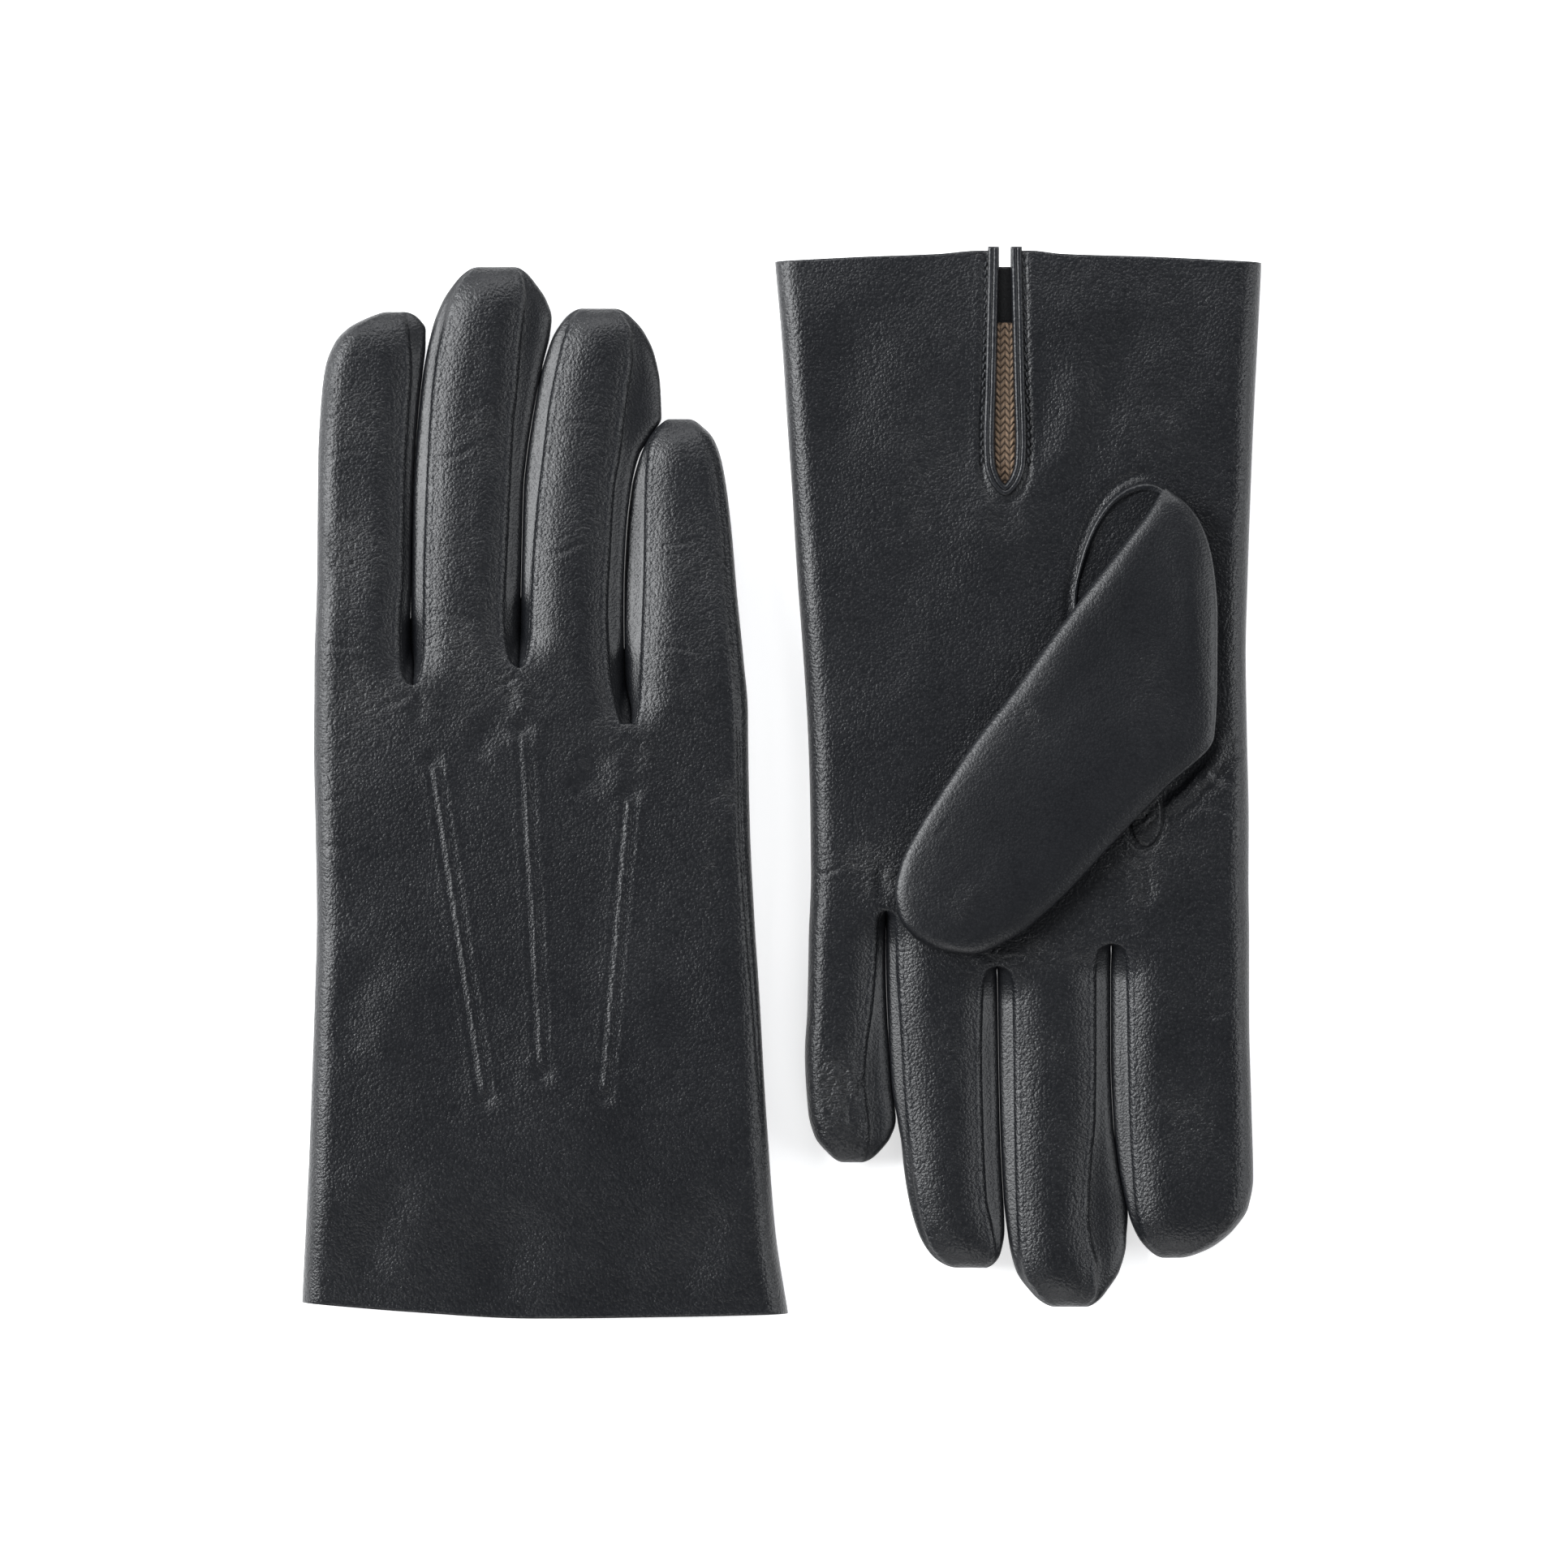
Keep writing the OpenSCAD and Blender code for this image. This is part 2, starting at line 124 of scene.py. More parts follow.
def waves(x, y, seed, size):
    """A sum of soft sine waves in seeded directions, between about -1 and 1, size apart."""
    rng = np.random.default_rng(seed)
    total = 0
    for n in range(7):
        a, s, p = rng.uniform(0, math.pi), size * rng.uniform(0.6, 1.7), rng.uniform(0, 6.28)
        total = total + np.sin((x * math.cos(a) + y * math.sin(a)) * 6.28 / s + p)
    return total / 4


def stroke(x, y, line):
    """A crease along a bent line of three points: a soft valley with a raised shoulder on both sides.
    line is x0, y0, x1, y1, bow, width, depth."""
    x0, y0, x1, y1, bow, width, depth = line
    dx, dy = x1 - x0, y1 - y0
    length = math.hypot(dx, dy)
    t = ((x - x0) * dx + (y - y0) * dy) / length ** 2
    s = (-(x - x0) * dy + (y - y0) * dx) / length
    s = s - bow * 4 * t * (1 - t)
    fade = smooth(-0.05, 0.25, t) * (1 - smooth(0.75, 1.05, t))
    r = (s / width) ** 2
    return -depth * fade * (np.exp(-r) - 0.55 * np.exp(-((np.abs(s) - 1.9 * width) / (1.1 * width)) ** 2))


def spread(n, edge=0.5):
    """n numbers from 0 to 1, closer together at both ends."""
    t = np.linspace(0, 1, n)
    return (1 - edge) * t + edge * (0.5 - 0.5 * np.cos(math.pi * t))


# ---- the pattern of each glove ---------------------------------------------

EDGE_INDEX = [(0, -56), (20, -55), (40, -54), (55, -53.4), (75, -52.7), (95, -52.2), (115, -52.5),
              (135, -52.9), (155, -52.8), (175, -52.4)]
EDGE_LITTLE = (
    [(0, 61), (20, 57.9), (40, 56.3), (55, 55.3), (75, 54.2), (95, 52.9), (115, 51.9), (132, 51.5),
     (150, 51.3)],
    [(0, 61.2), (20, 59.5), (40, 58.2), (55, 57.1), (75, 55.9), (95, 54.4), (115, 53.2), (132, 52.7),
     (150, 52.5)],
)

# Where the fingers start to part, and the crotches on the upper and the under side.
SPLIT = (139, 147)
CROTCH_X = ((-28.9, -3.5, 23.4), (-19.7, 7.8, 34.5))
PART_X = ((-29.1, -3.7, 23.3), (-19.9, 7.6, 34.4))
CROTCH_TOP = ((150.5, 154.6, 139.4), (164.4, 169.8, 156.4))
CROTCH_UNDER = ((164.4, 169.0, 156.4), (150.5, 154.6, 147.5))
ROOT = (164.2, 169.2, 169.2, 156.7)
TIPS = ((240.4, 251.2, 241.2, 214.6), (240.2, 252.0, 242.6, 217.2))

# For each finger: seam and outline on the index side, then seam and outline on the little side.
SHAPES = (
    (
        dict(sl=[(132, -52.8), (155, -52.8), (175, -52.2), (205, -52), (220, -51.2), (227, -50.3),
                 (233, -48), (236.5, -44.8), (238.6, -41), (239.8, -38), (240.4, -35.5)],
             vr=[(150.5, -28.9), (151.6, -30.2), (154, -31.2), (163, -31.8), (178, -31), (198, -30.8),
                 (217, -29.8), (226, -29.2), (235, -29.8), (238.6, -30.8), (240.4, -32.6)],
             sr=[(150.5, -28.9), (153, -30), (163, -30.3), (178, -29.9), (198, -29.5), (217, -28.1),
                 (226, -27), (232, -26.2), (236, -26.1), (238.6, -27.6), (240.4, -31.4)]),
        dict(vl=[(150.5, -28.9), (151.6, -27.9), (154, -27.2), (163, -26.7), (178, -26.6), (198, -26),
                 (217, -25), (227, -24), (237, -22), (243, -20.3), (248, -17.6), (251.2, -13)],
             sl=[(150.5, -28.9), (153, -28.8), (163, -29.1), (178, -29.1), (198, -28.7), (217, -27.4),
                 (228, -26.2), (237, -24.4), (243, -22), (247.6, -18.8), (251.2, -13.4)],
             vr=[(154.6, -3.5), (155.8, -4.8), (159, -5.9), (167, -6.8), (178, -6.4), (198, -5.5),
                 (213.5, -4.7), (221, -3.9), (233, -2.9), (243, -1.9), (248, -2.4), (251.2, -5)],
             sr=[(154.6, -3.5), (159, -3.9), (178, -3.5), (198, -3.1), (206, -2.4), (217, -0.6), (227, 1.4),
                 (235, 3.6), (239, 4), (243, 2.9), (247.6, 0), (251.2, -5)]),
        dict(vl=[(154.6, -3.5), (155.8, -2.4), (159, -1.6), (163, -1.2), (178, -0.6), (194, 0.6), (206, 2),
                 (217, 3.3), (227, 5.2), (234, 6.9), (238.6, 8.8), (241.2, 12)],
             sl=[(154.6, -3.5), (158, -3), (178, -2.6), (198, -2), (206, -1.1), (217, 0.5), (227, 2.4),
                 (234, 4.3), (238.4, 7), (241.2, 11.6)],
             vr=[(139.4, 23.4), (140.6, 21.9), (145.3, 20.3), (155, 18.5), (168.7, 17.9), (182, 18.5),
                 (198, 19.5), (206, 20.9), (213.5, 21.8), (221, 22.8), (229, 23.8), (235, 23.6),
                 (239, 21.8), (241.2, 19)],
             sr=[(139.4, 23.4), (145, 21.9), (155, 21.2), (168.7, 21.1), (186, 21.6), (198, 22.9),
                 (206, 25.2), (211, 28.2), (215, 30.2), (223, 30), (230, 28.8), (235.5, 26.4), (239, 23.4),
                 (241.2, 19.2)]),
        dict(vl=[(139.4, 23.4), (140.6, 24.2), (145, 24.9), (163, 25.7), (178, 26.2), (198, 26.5),
                 (207, 27.2), (211, 28.8), (214.6, 33)],
             sl=[(139.4, 23.4), (145, 22.9), (155, 22.2), (174, 22), (186, 22.5), (198, 23.8), (204, 25),
                 (209, 27), (212.5, 29.6), (214.6, 32.6)],
             sr=[(132, 52.1), (143, 51.5), (159, 50.1), (174, 48.6), (186, 47.6), (198, 46.2), (205, 44.9),
                 (210, 43), (213, 40.2), (214.6, 37)]),
    ),
    (
        dict(sl=[(146, -53), (180, -53), (205, -53.6), (221, -54), (228, -52.8), (233, -49.6), (237, -45),
                 (239.4, -40), (240.2, -36)],
             vr=[(164.4, -19.7), (165, -21.4), (167, -22.7), (171.6, -23.2), (191, -23.6), (207, -24),
                 (218, -24.6), (228, -25.4), (234, -26.8), (238, -29.4), (240.2, -33)],
             sr=[(164.4, -19.7), (168, -20.1), (191, -20.1), (206, -20.7), (218, -22), (229, -24.1),
                 (234.6, -26), (238.2, -28.8), (240.2, -32.6)]),
        dict(vl=[(164.4, -19.7), (165, -18.2), (167, -16.8), (171.6, -16.2), (191, -16.2), (207, -16),
                 (216, -15.2), (230, -14.6), (236, -15.2), (242, -16.6), (247, -16.6), (252, -13)],
             sl=[(164.4, -19.7), (171, -19.2), (191, -19.2), (206, -19.7), (218, -21.1), (230, -23.2),
                 (237, -23.1), (243, -21.8), (248, -18.8), (252, -13.4)],
             vr=[(169.8, 7.8), (170.4, 6.2), (172, 5), (175, 4.2), (191, 3.9), (210, 3.7), (226, 3.3),
                 (238, 2.7), (244, 1.6), (248.6, -1.4), (252, -6.6)],
             sr=[(169.8, 7.8), (175, 7.3), (191, 6.9), (210, 6.5), (226, 5.7), (236, 4.9), (243, 3.2),
                 (248.4, -0.6), (252, -6.4)]),
        dict(vl=[(169.8, 7.8), (170.4, 9.2), (172, 10.2), (175, 10.9), (191, 11.3), (210, 10.9),
                 (226, 10.1), (233, 8.6), (238, 8), (242.6, 11)],
             sl=[(169.8, 7.8), (175, 7.9), (191, 7.8), (210, 7.4), (226, 6.6), (234, 6), (239, 6.9),
                 (242.6, 10.6)],
             vr=[(156.4, 34.5), (157, 33.4), (159, 32.5), (171.6, 32), (187, 31), (200.9, 30.2),
                 (210.6, 29.3), (220, 28.3), (230, 26.5), (237, 24.2), (240.6, 21.4), (242.6, 17)],
             sr=[(156.4, 34.5), (171, 34), (187, 33.4), (200, 32.5), (207, 31.5), (213, 30.7), (219, 30.1),
                 (226, 29), (234, 26.7), (239, 23.8), (242.6, 17.2)]),
        dict(vl=[(156.4, 34.5), (157, 35.2), (159, 36), (167.7, 36.5), (179, 37.4), (189, 38.8),
                 (197, 39.4), (203, 38.8), (210, 38.2), (217.2, 41)],
             sl=[(156.4, 34.5), (171, 34.9), (187, 34.3), (200, 33.4), (207, 32.4), (211, 33.4),
                 (214.6, 36), (217.2, 40.6)],
             sr=[(146, 52.8), (180, 53.4), (191, 54), (205, 53.2), (211, 51.6), (215, 48.4),
                 (217.2, 44.6)]),
    ),
)

# The point of the right glove's pattern that lies in the middle of the pair.
PAIR_MIDDLE = (59.5, 126.5)

# How far the fingertips of each glove sag, and the length over which a fingertip rounds off.
FINGER_SAG, TIP_ROUND = (3.0, 0.0), 13

# The vent: its middle line, its closed end, and how far apart its stitches and their two rows are.
VENT_X, VENT_END = 5.9, 54.6
VENT_STEP, VENT_ROW = 2.05, 2.75
VENT_FIRST, VENT_STITCHES = 1.2, 24

# The small gusset (quirk) and the thumb hole: middle x, middle y, half width, half length.
QUIRK = (-27.9, 133.6, 4.05, 7.8)
THUMB_HOLE = (-27.5, 88, 17.6, 34.6)

# The knit: width of a column of stitches and height of a row.
KNIT_COLUMN, KNIT_ROW = 2.35, 1.75

# Spacing of the stitches beside a raised line, and how far from its middle they lie.
POINT_STEP, POINT_ROW = 1.6, 1.28

# Thickness in metres: the hand, the linings, the small gussets and the vent's binding.
HAND_SHEET, LINING_SHEET, GUSSET_SHEET, BINDING_SHEET = 0.0008, 0.0006, 0.0004, 0.00025


def upper(g, y):
    """Height of the upper side of the hand."""
    if g == RIGHT:
        return curve([(0, 15.4), (14, 16.8), (32, 18.9), (52, 19.9), (132, 20), (170, 19.8)], y)
    return curve([(0, 11.6), (14, 12.3), (40, 12.6), (170, 12.6)], y)


def under(g, y):
    """Height of the under side of the hand."""
    if g == RIGHT:
        return curve([(0, 0.3), (16, 2.2), (34, 4.9), (58, 8), (170, 8)], y)
    return curve([(0, 0.9), (20, 0.6), (170, 0.6)], y)


def palm_at(g, y):
    """Height of the palm, and 1 where it faces up or -1 where it faces down."""
    return (upper(g, y), 1) if g == LEFT else (under(g, y), -1)


def half_vent(y):
    """Half of the gap of the vent: narrow at the edge, widest near the closed end, which is pointed."""
    half = curve([(-4, 1.8), (0, 1.85), (16, 2.2), (31, 2.55), (44, 2.9), (49, 2.7), (52.4, 1.7),
                  (54.2, 0.45), (VENT_END, 0.0)], y)
    return half * (y < VENT_END) * settings().gap / HALF_GAP


def place(g, p):
    """Points of a glove's pattern, in mm, at their place in the model, in metres."""
    s = 1 if g == RIGHT else -1
    x, y = p[..., 0] - PAIR_MIDDLE[0], p[..., 1] - PAIR_MIDDLE[1]
    return np.stack([s * x, s * y, p[..., 2]], -1) / 1000


# Creases on the upper side: x0, y0, x1, y1, bow, width, depth.
CREASES = (
    (
        (-29, 149.5, -38, 146, 1, .8, .16), (-28.5, 149, -21, 144, -1, .8, .16),
        (-28.6, 149, -27.6, 141, .6, 1.8, .16), (-4, 153, -11, 150, .6, .7, .14),
        (-3, 153, 4, 149, -.6, .7, .14), (-3.5, 152, -3, 143, .6, 2.0, -.2),
        (23.5, 138, 32, 134, -.8, .8, .16), (23, 138, 16, 133, .8, .8, .16),
        (23.5, 137, 24.2, 129, .4, 1.8, .16), (-52, 121, -43, 124, .7, .6, .25),
        (-52, 113, -44, 112, -.5, .7, .22), (50, 127, 41, 124, .7, .7, .2),
        (-51, 160, -40, 158, .7, .7, .22), (-51, 187, -42, 184, -.6, .7, .2),
        (-50, 204, -41, 207, .6, .6, .16), (-25, 168, -13, 165, .6, .7, .2),
        (-24, 205, -13, 208, -.6, .7, .16), (2, 182, 12, 185, -.6, .7, .18), (6, 214, 16, 212, .6, .6, .16),
        (28, 160, 40, 158, .6, .7, .2), (29, 184, 40, 186, -.6, .6, .16), (-40, 6, -30, 34, 2, 5, .4),
        (34, 4, 42, 30, -2, 5, .4), (-8, 3, -2, 26, 1, 6, .3), (-46, 60, -34, 88, 3, 5, .35),
        (40, 60, 33, 92, 2, 6, .35), (-14, 132, -6, 142, 2, 3, .3), (10, 124, 15, 136, -2, 3, .3),
    ),
    (
        (-19.7, 163.4, -27, 161, .6, .7, .15), (-19.7, 163.4, -13, 160.6, -.6, .7, .15),
        (7.8, 168.8, 0, 168, .5, .6, .25), (7.8, 168.7, 14, 166.4, -.5, .6, .25),
        (34.5, 155, 41, 152, -.6, .7, .3), (-52.5, 142, -33, 142, 1, .5, .35),
        (-53, 113.8, -46, 115, .4, .6, .4), (-52.5, 118, -47.5, 121, -.5, .7, .35),
        (-50, 126, -43, 122, .8, 1.1, .35), (-51, 134, -40, 131, -.8, 1.0, .3),
        (-27, 146, -28, 156, 1, 1.5, .3), (52, 148.5, 40, 146, .7, .55, .3),
        (52, 144, 43, 145, -.5, .5, .22), (34.5, 154, 35.6, 145, .6, 1.4, .25),
        (-52, 179, -38, 181.5, .8, .5, .2), (46.6, 190, 42.6, 211, .8, 1.0, .35),
        (39, 197, 42, 207, -.6, 1.0, .25), (44.5, 200, 50, 196, .6, .8, .18),
        (44, 206, 49.5, 204, .6, .8, .15), (5.9, 58, 5.9, 68, 0, 3.4, .3), (-40, 8, -32, 40, 3, 6, .3),
        (38, 10, 44, 50, -3, 7, .35), (20, 40, 26, 80, 3, 8, .35), (-12.9, 23, -4, 54, 2, 4, -.45),
        (-26, 12, -18, 40, 2, 7, .3), (-47.5, 113.5, -30.5, 134, 1.6, 1.7, -.8),
        (-46, 115.5, -30.5, 131.6, 1.2, 1.2, .5),
    ),
)

# Clusters of fine crinkles: x, y, half width, half height, strength.
CRINKLES = (
    (
        (-30, 147, 12, 7, 1), (-16, 158, 8, 12, .8), (-3, 149, 10, 6, .8), (8, 158, 8, 8, .7),
        (24, 134, 13, 7, 1), (12, 138, 9, 7, .8), (38, 150, 9, 14, .8), (-46, 150, 7, 14, .9),
        (-44, 185, 8, 14, .9), (-44, 212, 8, 10, .7), (-15, 185, 8, 9, .7), (-13, 212, 8, 8, .8),
        (8, 186, 8, 9, .7), (11, 214, 8, 8, .6), (36, 180, 7, 10, .6), (-47, 122, 7, 10, .9),
        (45, 118, 8, 14, .9), (-10, 231, 7, 7, .5), (40, 40, 14, 20, .35), (-36, 60, 14, 30, .3),
    ),
    (
        (-47, 116, 7, 6, 1), (-42, 143, 12, 6, .9), (-28, 150, 8, 9, .8), (38, 146, 12, 6, .9),
        (2, 167, 14, 5, .9), (45, 200, 8, 14, .9), (-42, 178, 12, 8, .6), (-10, 100, 10, 9, .5),
        (-4, 190, 7, 8, .5), (20, 190, 8, 8, .5), (-12, 215, 8, 8, .5), (20, 216, 8, 8, .5),
        (-40, 205, 9, 12, .5), (5.9, 63, 9, 9, .6), (24, 55, 12, 20, .35), (-30, 30, 14, 16, .35),
    ),
)
THUMB_CREASES = ((12, 151, 18, 158, .5, .5, .3), (18.5, 133, 24, 140, .5, .6, .14),
                 (-1, 101, 3, 106, -.5, .5, .16), (-30, 66, -33, 96, -2, 5, .3),
                 (-20, 86, 4, 118, 3, 7, .2), (-38, 70, -41, 108, 0, 2.6, -.25))
THUMB_CRINKLES = ((15, 155, 8, 8, .55), (0, 107, 7, 7, .4), (22, 138, 8, 6, .35), (-30, 100, 10, 14, .25))

# The raised lines on the back: lower end and upper end.
POINT_LINES = (((-11.6, 52.4), (-23.7, 131.4)), ((2.3, 58.6), (-2.3, 138.8)), ((17.1, 53), (23.2, 123.5)))


def crinkled(spots, x, y):
    """How crinkled the leather is, 0 to 1: soft spots with ragged edges on a faint ground."""
    total = 0.10 + 0.06 * waves(x, y, 51, 24)
    for cx, cy, rx, ry, strength in spots:
        total = total + strength * np.exp(-((x - cx) / rx) ** 2 - ((y - cy) / ry) ** 2)
    return np.clip(total * (0.8 + 0.35 * waves(x, y, 52, 7)), 0, 1)


def vent_rows():
    """Places of the stitches beside the vent, along the glove."""
    return VENT_FIRST + VENT_STEP * np.arange(VENT_STITCHES)


def relief(g, x, y):
    """Height added to the upper side: broad waves, creases, the raised lines and the seams."""
    s = settings()
    h = 1000 * s.softness * waves(x, y, 11 + g, 46)
    h = h + 0.025 * waves(x, y * 1.3, 21 + g, 13)
    for line in CREASES[g]:
        h = h + s.wrinkle * stroke(x + 0.35 * waves(x, y, 5, 9), y + 0.5 * waves(x, y, 6, 11), line)
    if g == RIGHT:
        for (x0, y0), (x1, y1) in POINT_LINES:
            length = math.hypot(x1 - x0, y1 - y0)
            ux, uy = (x1 - x0) / length, (y1 - y0) / length
            along = (x - x0) * ux + (y - y0) * uy
            across = -(x - x0) * uy + (y - y0) * ux
            on = smooth(-1.5, 1.5, along) * (1 - smooth(length - 1.5, length + 1.5, along))
            pucker = 0.75 + 0.25 * np.cos(along * 6.283 / POINT_STEP)
            h = h + on * (0.38 * np.exp(-(np.abs(across) / 0.72) ** 3)
                          - 0.34 * pucker * np.exp(-((np.abs(across) - 1.3) / 0.38) ** 2)
                          + 0.1 * np.exp(-((np.abs(across) - 2.5) / 0.9) ** 2))
            for end, way in ((0, -1), (length, 1)):
                d2 = (across ** 2 + (along - end - way * 1.2) ** 2)
                h = h - 0.42 * np.exp(-d2 / 2.6) + 0.12 * np.exp(-((np.sqrt(d2) - 4) / 2) ** 2)
        outline = EDGE_LITTLE[g][:-1] + [(143, 51.2), (159, 50.1), (174, 48.6), (186, 47.6), (198, 46.2),
                                         (205, 44.9), (210, 43)]
        inwards = [(40, 1.0), (80, 1.7), (120, 2.3), (170, 2), (205, 1.2)]
        seam = curve(outline, y) - curve(inwards, y)
        d = x - seam
        on = smooth(44, 60, y) * (1 - smooth(203, 209, y))
        h = h - on * (0.42 * np.exp(-(d / 0.34) ** 2) - 0.10 * np.exp(-((d + 1.0) / 0.6) ** 2))
    else:
        d = np.abs(x - VENT_X) - half_vent(np.clip(y, 0, 47)) - VENT_ROW
        on = 1 - smooth(49, 51, y)
        step = (y - VENT_FIRST) / VENT_STEP
        hole = np.exp(-((step - np.floor(step) - 0.5) / 0.2) ** 2 - (d / 0.42) ** 2)
        h = h - on * (0.45 * hole + 0.16 * np.exp(-(d / 0.5) ** 2) - 0.12 * np.exp(-((d - 1.7) / 1.0) ** 2))
        ring = np.hypot((x - VENT_X) / 4.9, (y - 50.5) / 7.0)
        h = h - 0.45 * np.exp(-((ring - 1.12) / 0.16) ** 2) * smooth(47, 51, y)
        ring = np.hypot((x - QUIRK[0]) / 4.3, (y - QUIRK[1]) / 8.1)
        h = h - 0.6 * np.exp(-((ring - 1) / 0.09) ** 2) * smooth(128, 132, y)
        arc = np.hypot((x + 27.5) / 17.6, (y - 88) / 34.5)
        h = h - 0.6 * np.exp(-((arc - 1.045) / 0.03) ** 2) * smooth(-30, -24, x) * (1 - smooth(86, 92, y))
    return h


# ---- meshes ----------------------------------------------------------------


def mesh_object(name, points, faces, material, wear=None, crinkle=None):
    """One object from points in metres and rows of corner numbers, with wear and painted highlight, and
    crinkles, per point.
    """
    mesh = bpy.data.meshes.new(name)
    points = np.asarray(points, np.float32)
    faces = np.asarray(faces, np.int32)
    mesh.vertices.add(len(points))
    mesh.vertices.foreach_set("co", points.ravel())
    mesh.loops.add(faces.size)
    mesh.loops.foreach_set("vertex_index", faces.ravel())
    mesh.polygons.add(len(faces))
    mesh.polygons.foreach_set("loop_start", np.arange(0, faces.size, faces.shape[1], dtype=np.int32))
    mesh.polygons.foreach_set("use_smooth", np.ones(len(faces), bool))
    for key, values in (("wear", wear), ("crinkle", crinkle)):
        if values is not None:
            a = mesh.attributes.new(key, "FLOAT", "POINT")
            a.data.foreach_set("value", np.asarray(values, np.float32).ravel())
    mesh.update(calc_edges=True)
    mesh.validate()
    obj = bpy.data.objects.new(name, mesh)
    bpy.context.scene.collection.objects.link(obj)
    mesh.materials.append(material)
    return obj


def grid_faces(rows, columns, ring=False, start=0):
    """Corner numbers of the squares of a grid; ring joins the last column to the first."""
    r = np.arange(rows - 1)[:, None]
    c = np.arange(columns if ring else columns - 1)[None, :]
    n = (c + 1) % columns
    f = np.stack([r * columns + c, r * columns + n, (r + 1) * columns + n, (r + 1) * columns + c], -1)
    return f.reshape(-1, 4) + start


def tidy_mesh(obj, distance=1e-6):
    """Joins points that lie on each other and turns the faces outwards."""
    bm = bmesh.new()
    bm.from_mesh(obj.data)
    bmesh.ops.remove_doubles(bm, verts=bm.verts, dist=distance)
    bmesh.ops.dissolve_degenerate(bm, edges=bm.edges, dist=distance / 2)
    bm.normal_update()
    bm.to_mesh(obj.data)
    bm.free()
    obj.data.update()
    face_outwards(obj)


def face_outwards(obj):
    """Turns all the faces round when those above the middle look down."""
    n = len(obj.data.polygons)
    normal, centre, area = np.empty(3 * n, np.float32), np.empty(3 * n, np.float32), np.empty(n, np.float32)
    obj.data.polygons.foreach_get("normal", normal)
    obj.data.polygons.foreach_get("center", centre)
    obj.data.polygons.foreach_get("area", area)
    normal, centre = normal.reshape(-1, 3), centre.reshape(-1, 3)
    middle = (centre * area[:, None]).sum(0) / area.sum()
    if (area[:, None] * normal * (centre - middle)).sum() < 0:
        obj.data.flip_normals()


def face_towards(obj, side):
    """Turns all the faces of a sheet up when side is 1, or down when it is -1."""
    if obj.data.polygons[0].normal[2] * side < 0:
        obj.data.flip_normals()


def thicken(obj, thickness):
    """Gives a sheet a thickness inwards, with closed edges."""
    m = obj.modifiers.new("thickness", "SOLIDIFY")
    m.thickness = thickness
    m.offset = -1
    m.use_rim = True
    m.use_even_offset = False
    return obj


def rounding(d, radius):
    """Quarter-round profile: 0 at the edge, 1 from radius inwards."""
    return (1 - (1 - np.clip(d / radius, 0, 1)) ** 2.3) ** (1 / 2.3)


def crown(g, x, y):
    """Share of the thickness at x: full in the middle and a little less towards both edges."""
    left, right = curve(EDGE_INDEX, y), curve(EDGE_LITTLE[g], y)
    return 1 - 0.05 * np.abs((x - (left + right) / 2) / ((right - left) / 2)) ** 3


def hand_level(g, x, y, side):
    """Height of the hand at x, y: side is 1 for the upper side and -1 for the under side.
    The middle height plus or minus half the thickness, rounded off at both edges and slightly crowned."""
    top, low = upper(g, y), under(g, y)
    mid, half = (top + low) / 2, (top - low) / 2
    left, right = curve(EDGE_INDEX, y), curve(EDGE_LITTLE[g], y)
    shape = rounding(x - left, 6) * rounding(right - x, 6) * crown(g, x, y)
    shape = np.maximum(shape, 0.0)
    return mid + side * half * shape


def hand_surface(g, thickness=0.0, rows=None):
    """The hand as a grid: each row runs from one side of the vent round the little side, the other
    side and the index edge, back to the other side of the vent. thickness brings it inwards."""
    if rows is None:
        rows = np.concatenate([np.linspace(0, 58, 86 if g == RIGHT else 100),
                               np.linspace(58.9, SPLIT[g], 88 if g == RIGHT else 78),
                               SPLIT[g] + np.linspace(0.3, 2.4, 6)])
    y = rows[:, None]
    thickness = thickness + 0.5 * np.clip((y - SPLIT[g]) / 2.4, 0, 1) ** 1.6
    left, right = curve(EDGE_INDEX, y) + thickness, curve(EDGE_LITTLE[g], y) - thickness
    gap = half_vent(y)
    counts = (46, 180, 50) if g == RIGHT else (74, 108, 84)
    a, b, c = (spread(n, end)[None] for n, end in zip(counts, (0.55, 0.75, 0.55)))
    # vent to little edge, across the far side, and index edge back to the vent
    x1 = VENT_X + gap + (right - VENT_X - gap) * a
    x2 = right + (left - right) * b[:, 1:-1]
    x3 = left + (VENT_X - gap - left) * c
    palm = 1 if g == LEFT else -1
    out = []
    for x, side in ((x1, palm), (x2, -palm), (x3, palm)):
        yy = np.broadcast_to(y, x.shape)
        z = hand_level(g, x, yy, side)
        mid = (upper(g, yy) + under(g, yy)) / 2
        z = z - np.sign(z - mid) * np.minimum(thickness, np.abs(z - mid))
        if side == 1:
            lift = rounding(np.minimum(x - left, right - x), 7)
            z = z + relief(g, x, yy) * lift
        else:
            z = z + 0.1 * waves(x, yy, 31 + g, 14) * rounding(np.minimum(x - left, right - x), 5)
        out.append(np.stack([x, yy, z], -1))
    p = np.concatenate(out, 1)
    x, yy = p[..., 0], p[..., 1]
    if g == RIGHT:
        bow = curve([(-56, 2.3), (-30, 0.2), (0, -1.4), (35, -1), (61, -0.4)], x)
    else:
        near = curve([(-56, 0.65), (-30, -0.6), (-8, -1.3), (0, -2.1), (12, -2.1), (22, -1.3), (40, -0.6),
                      (61, 0.4)], x)
        far = curve([(-56, 0.65), (-20, 1.1), (6, 1.5), (30, 1.1), (61, 0.4)], x)
        bow = np.where(p[..., 2] > (upper(g, yy) + under(g, yy)) / 2, near, far)
    p[..., 1] = yy + bow * (1 - smooth(0, 30, yy))
    return p


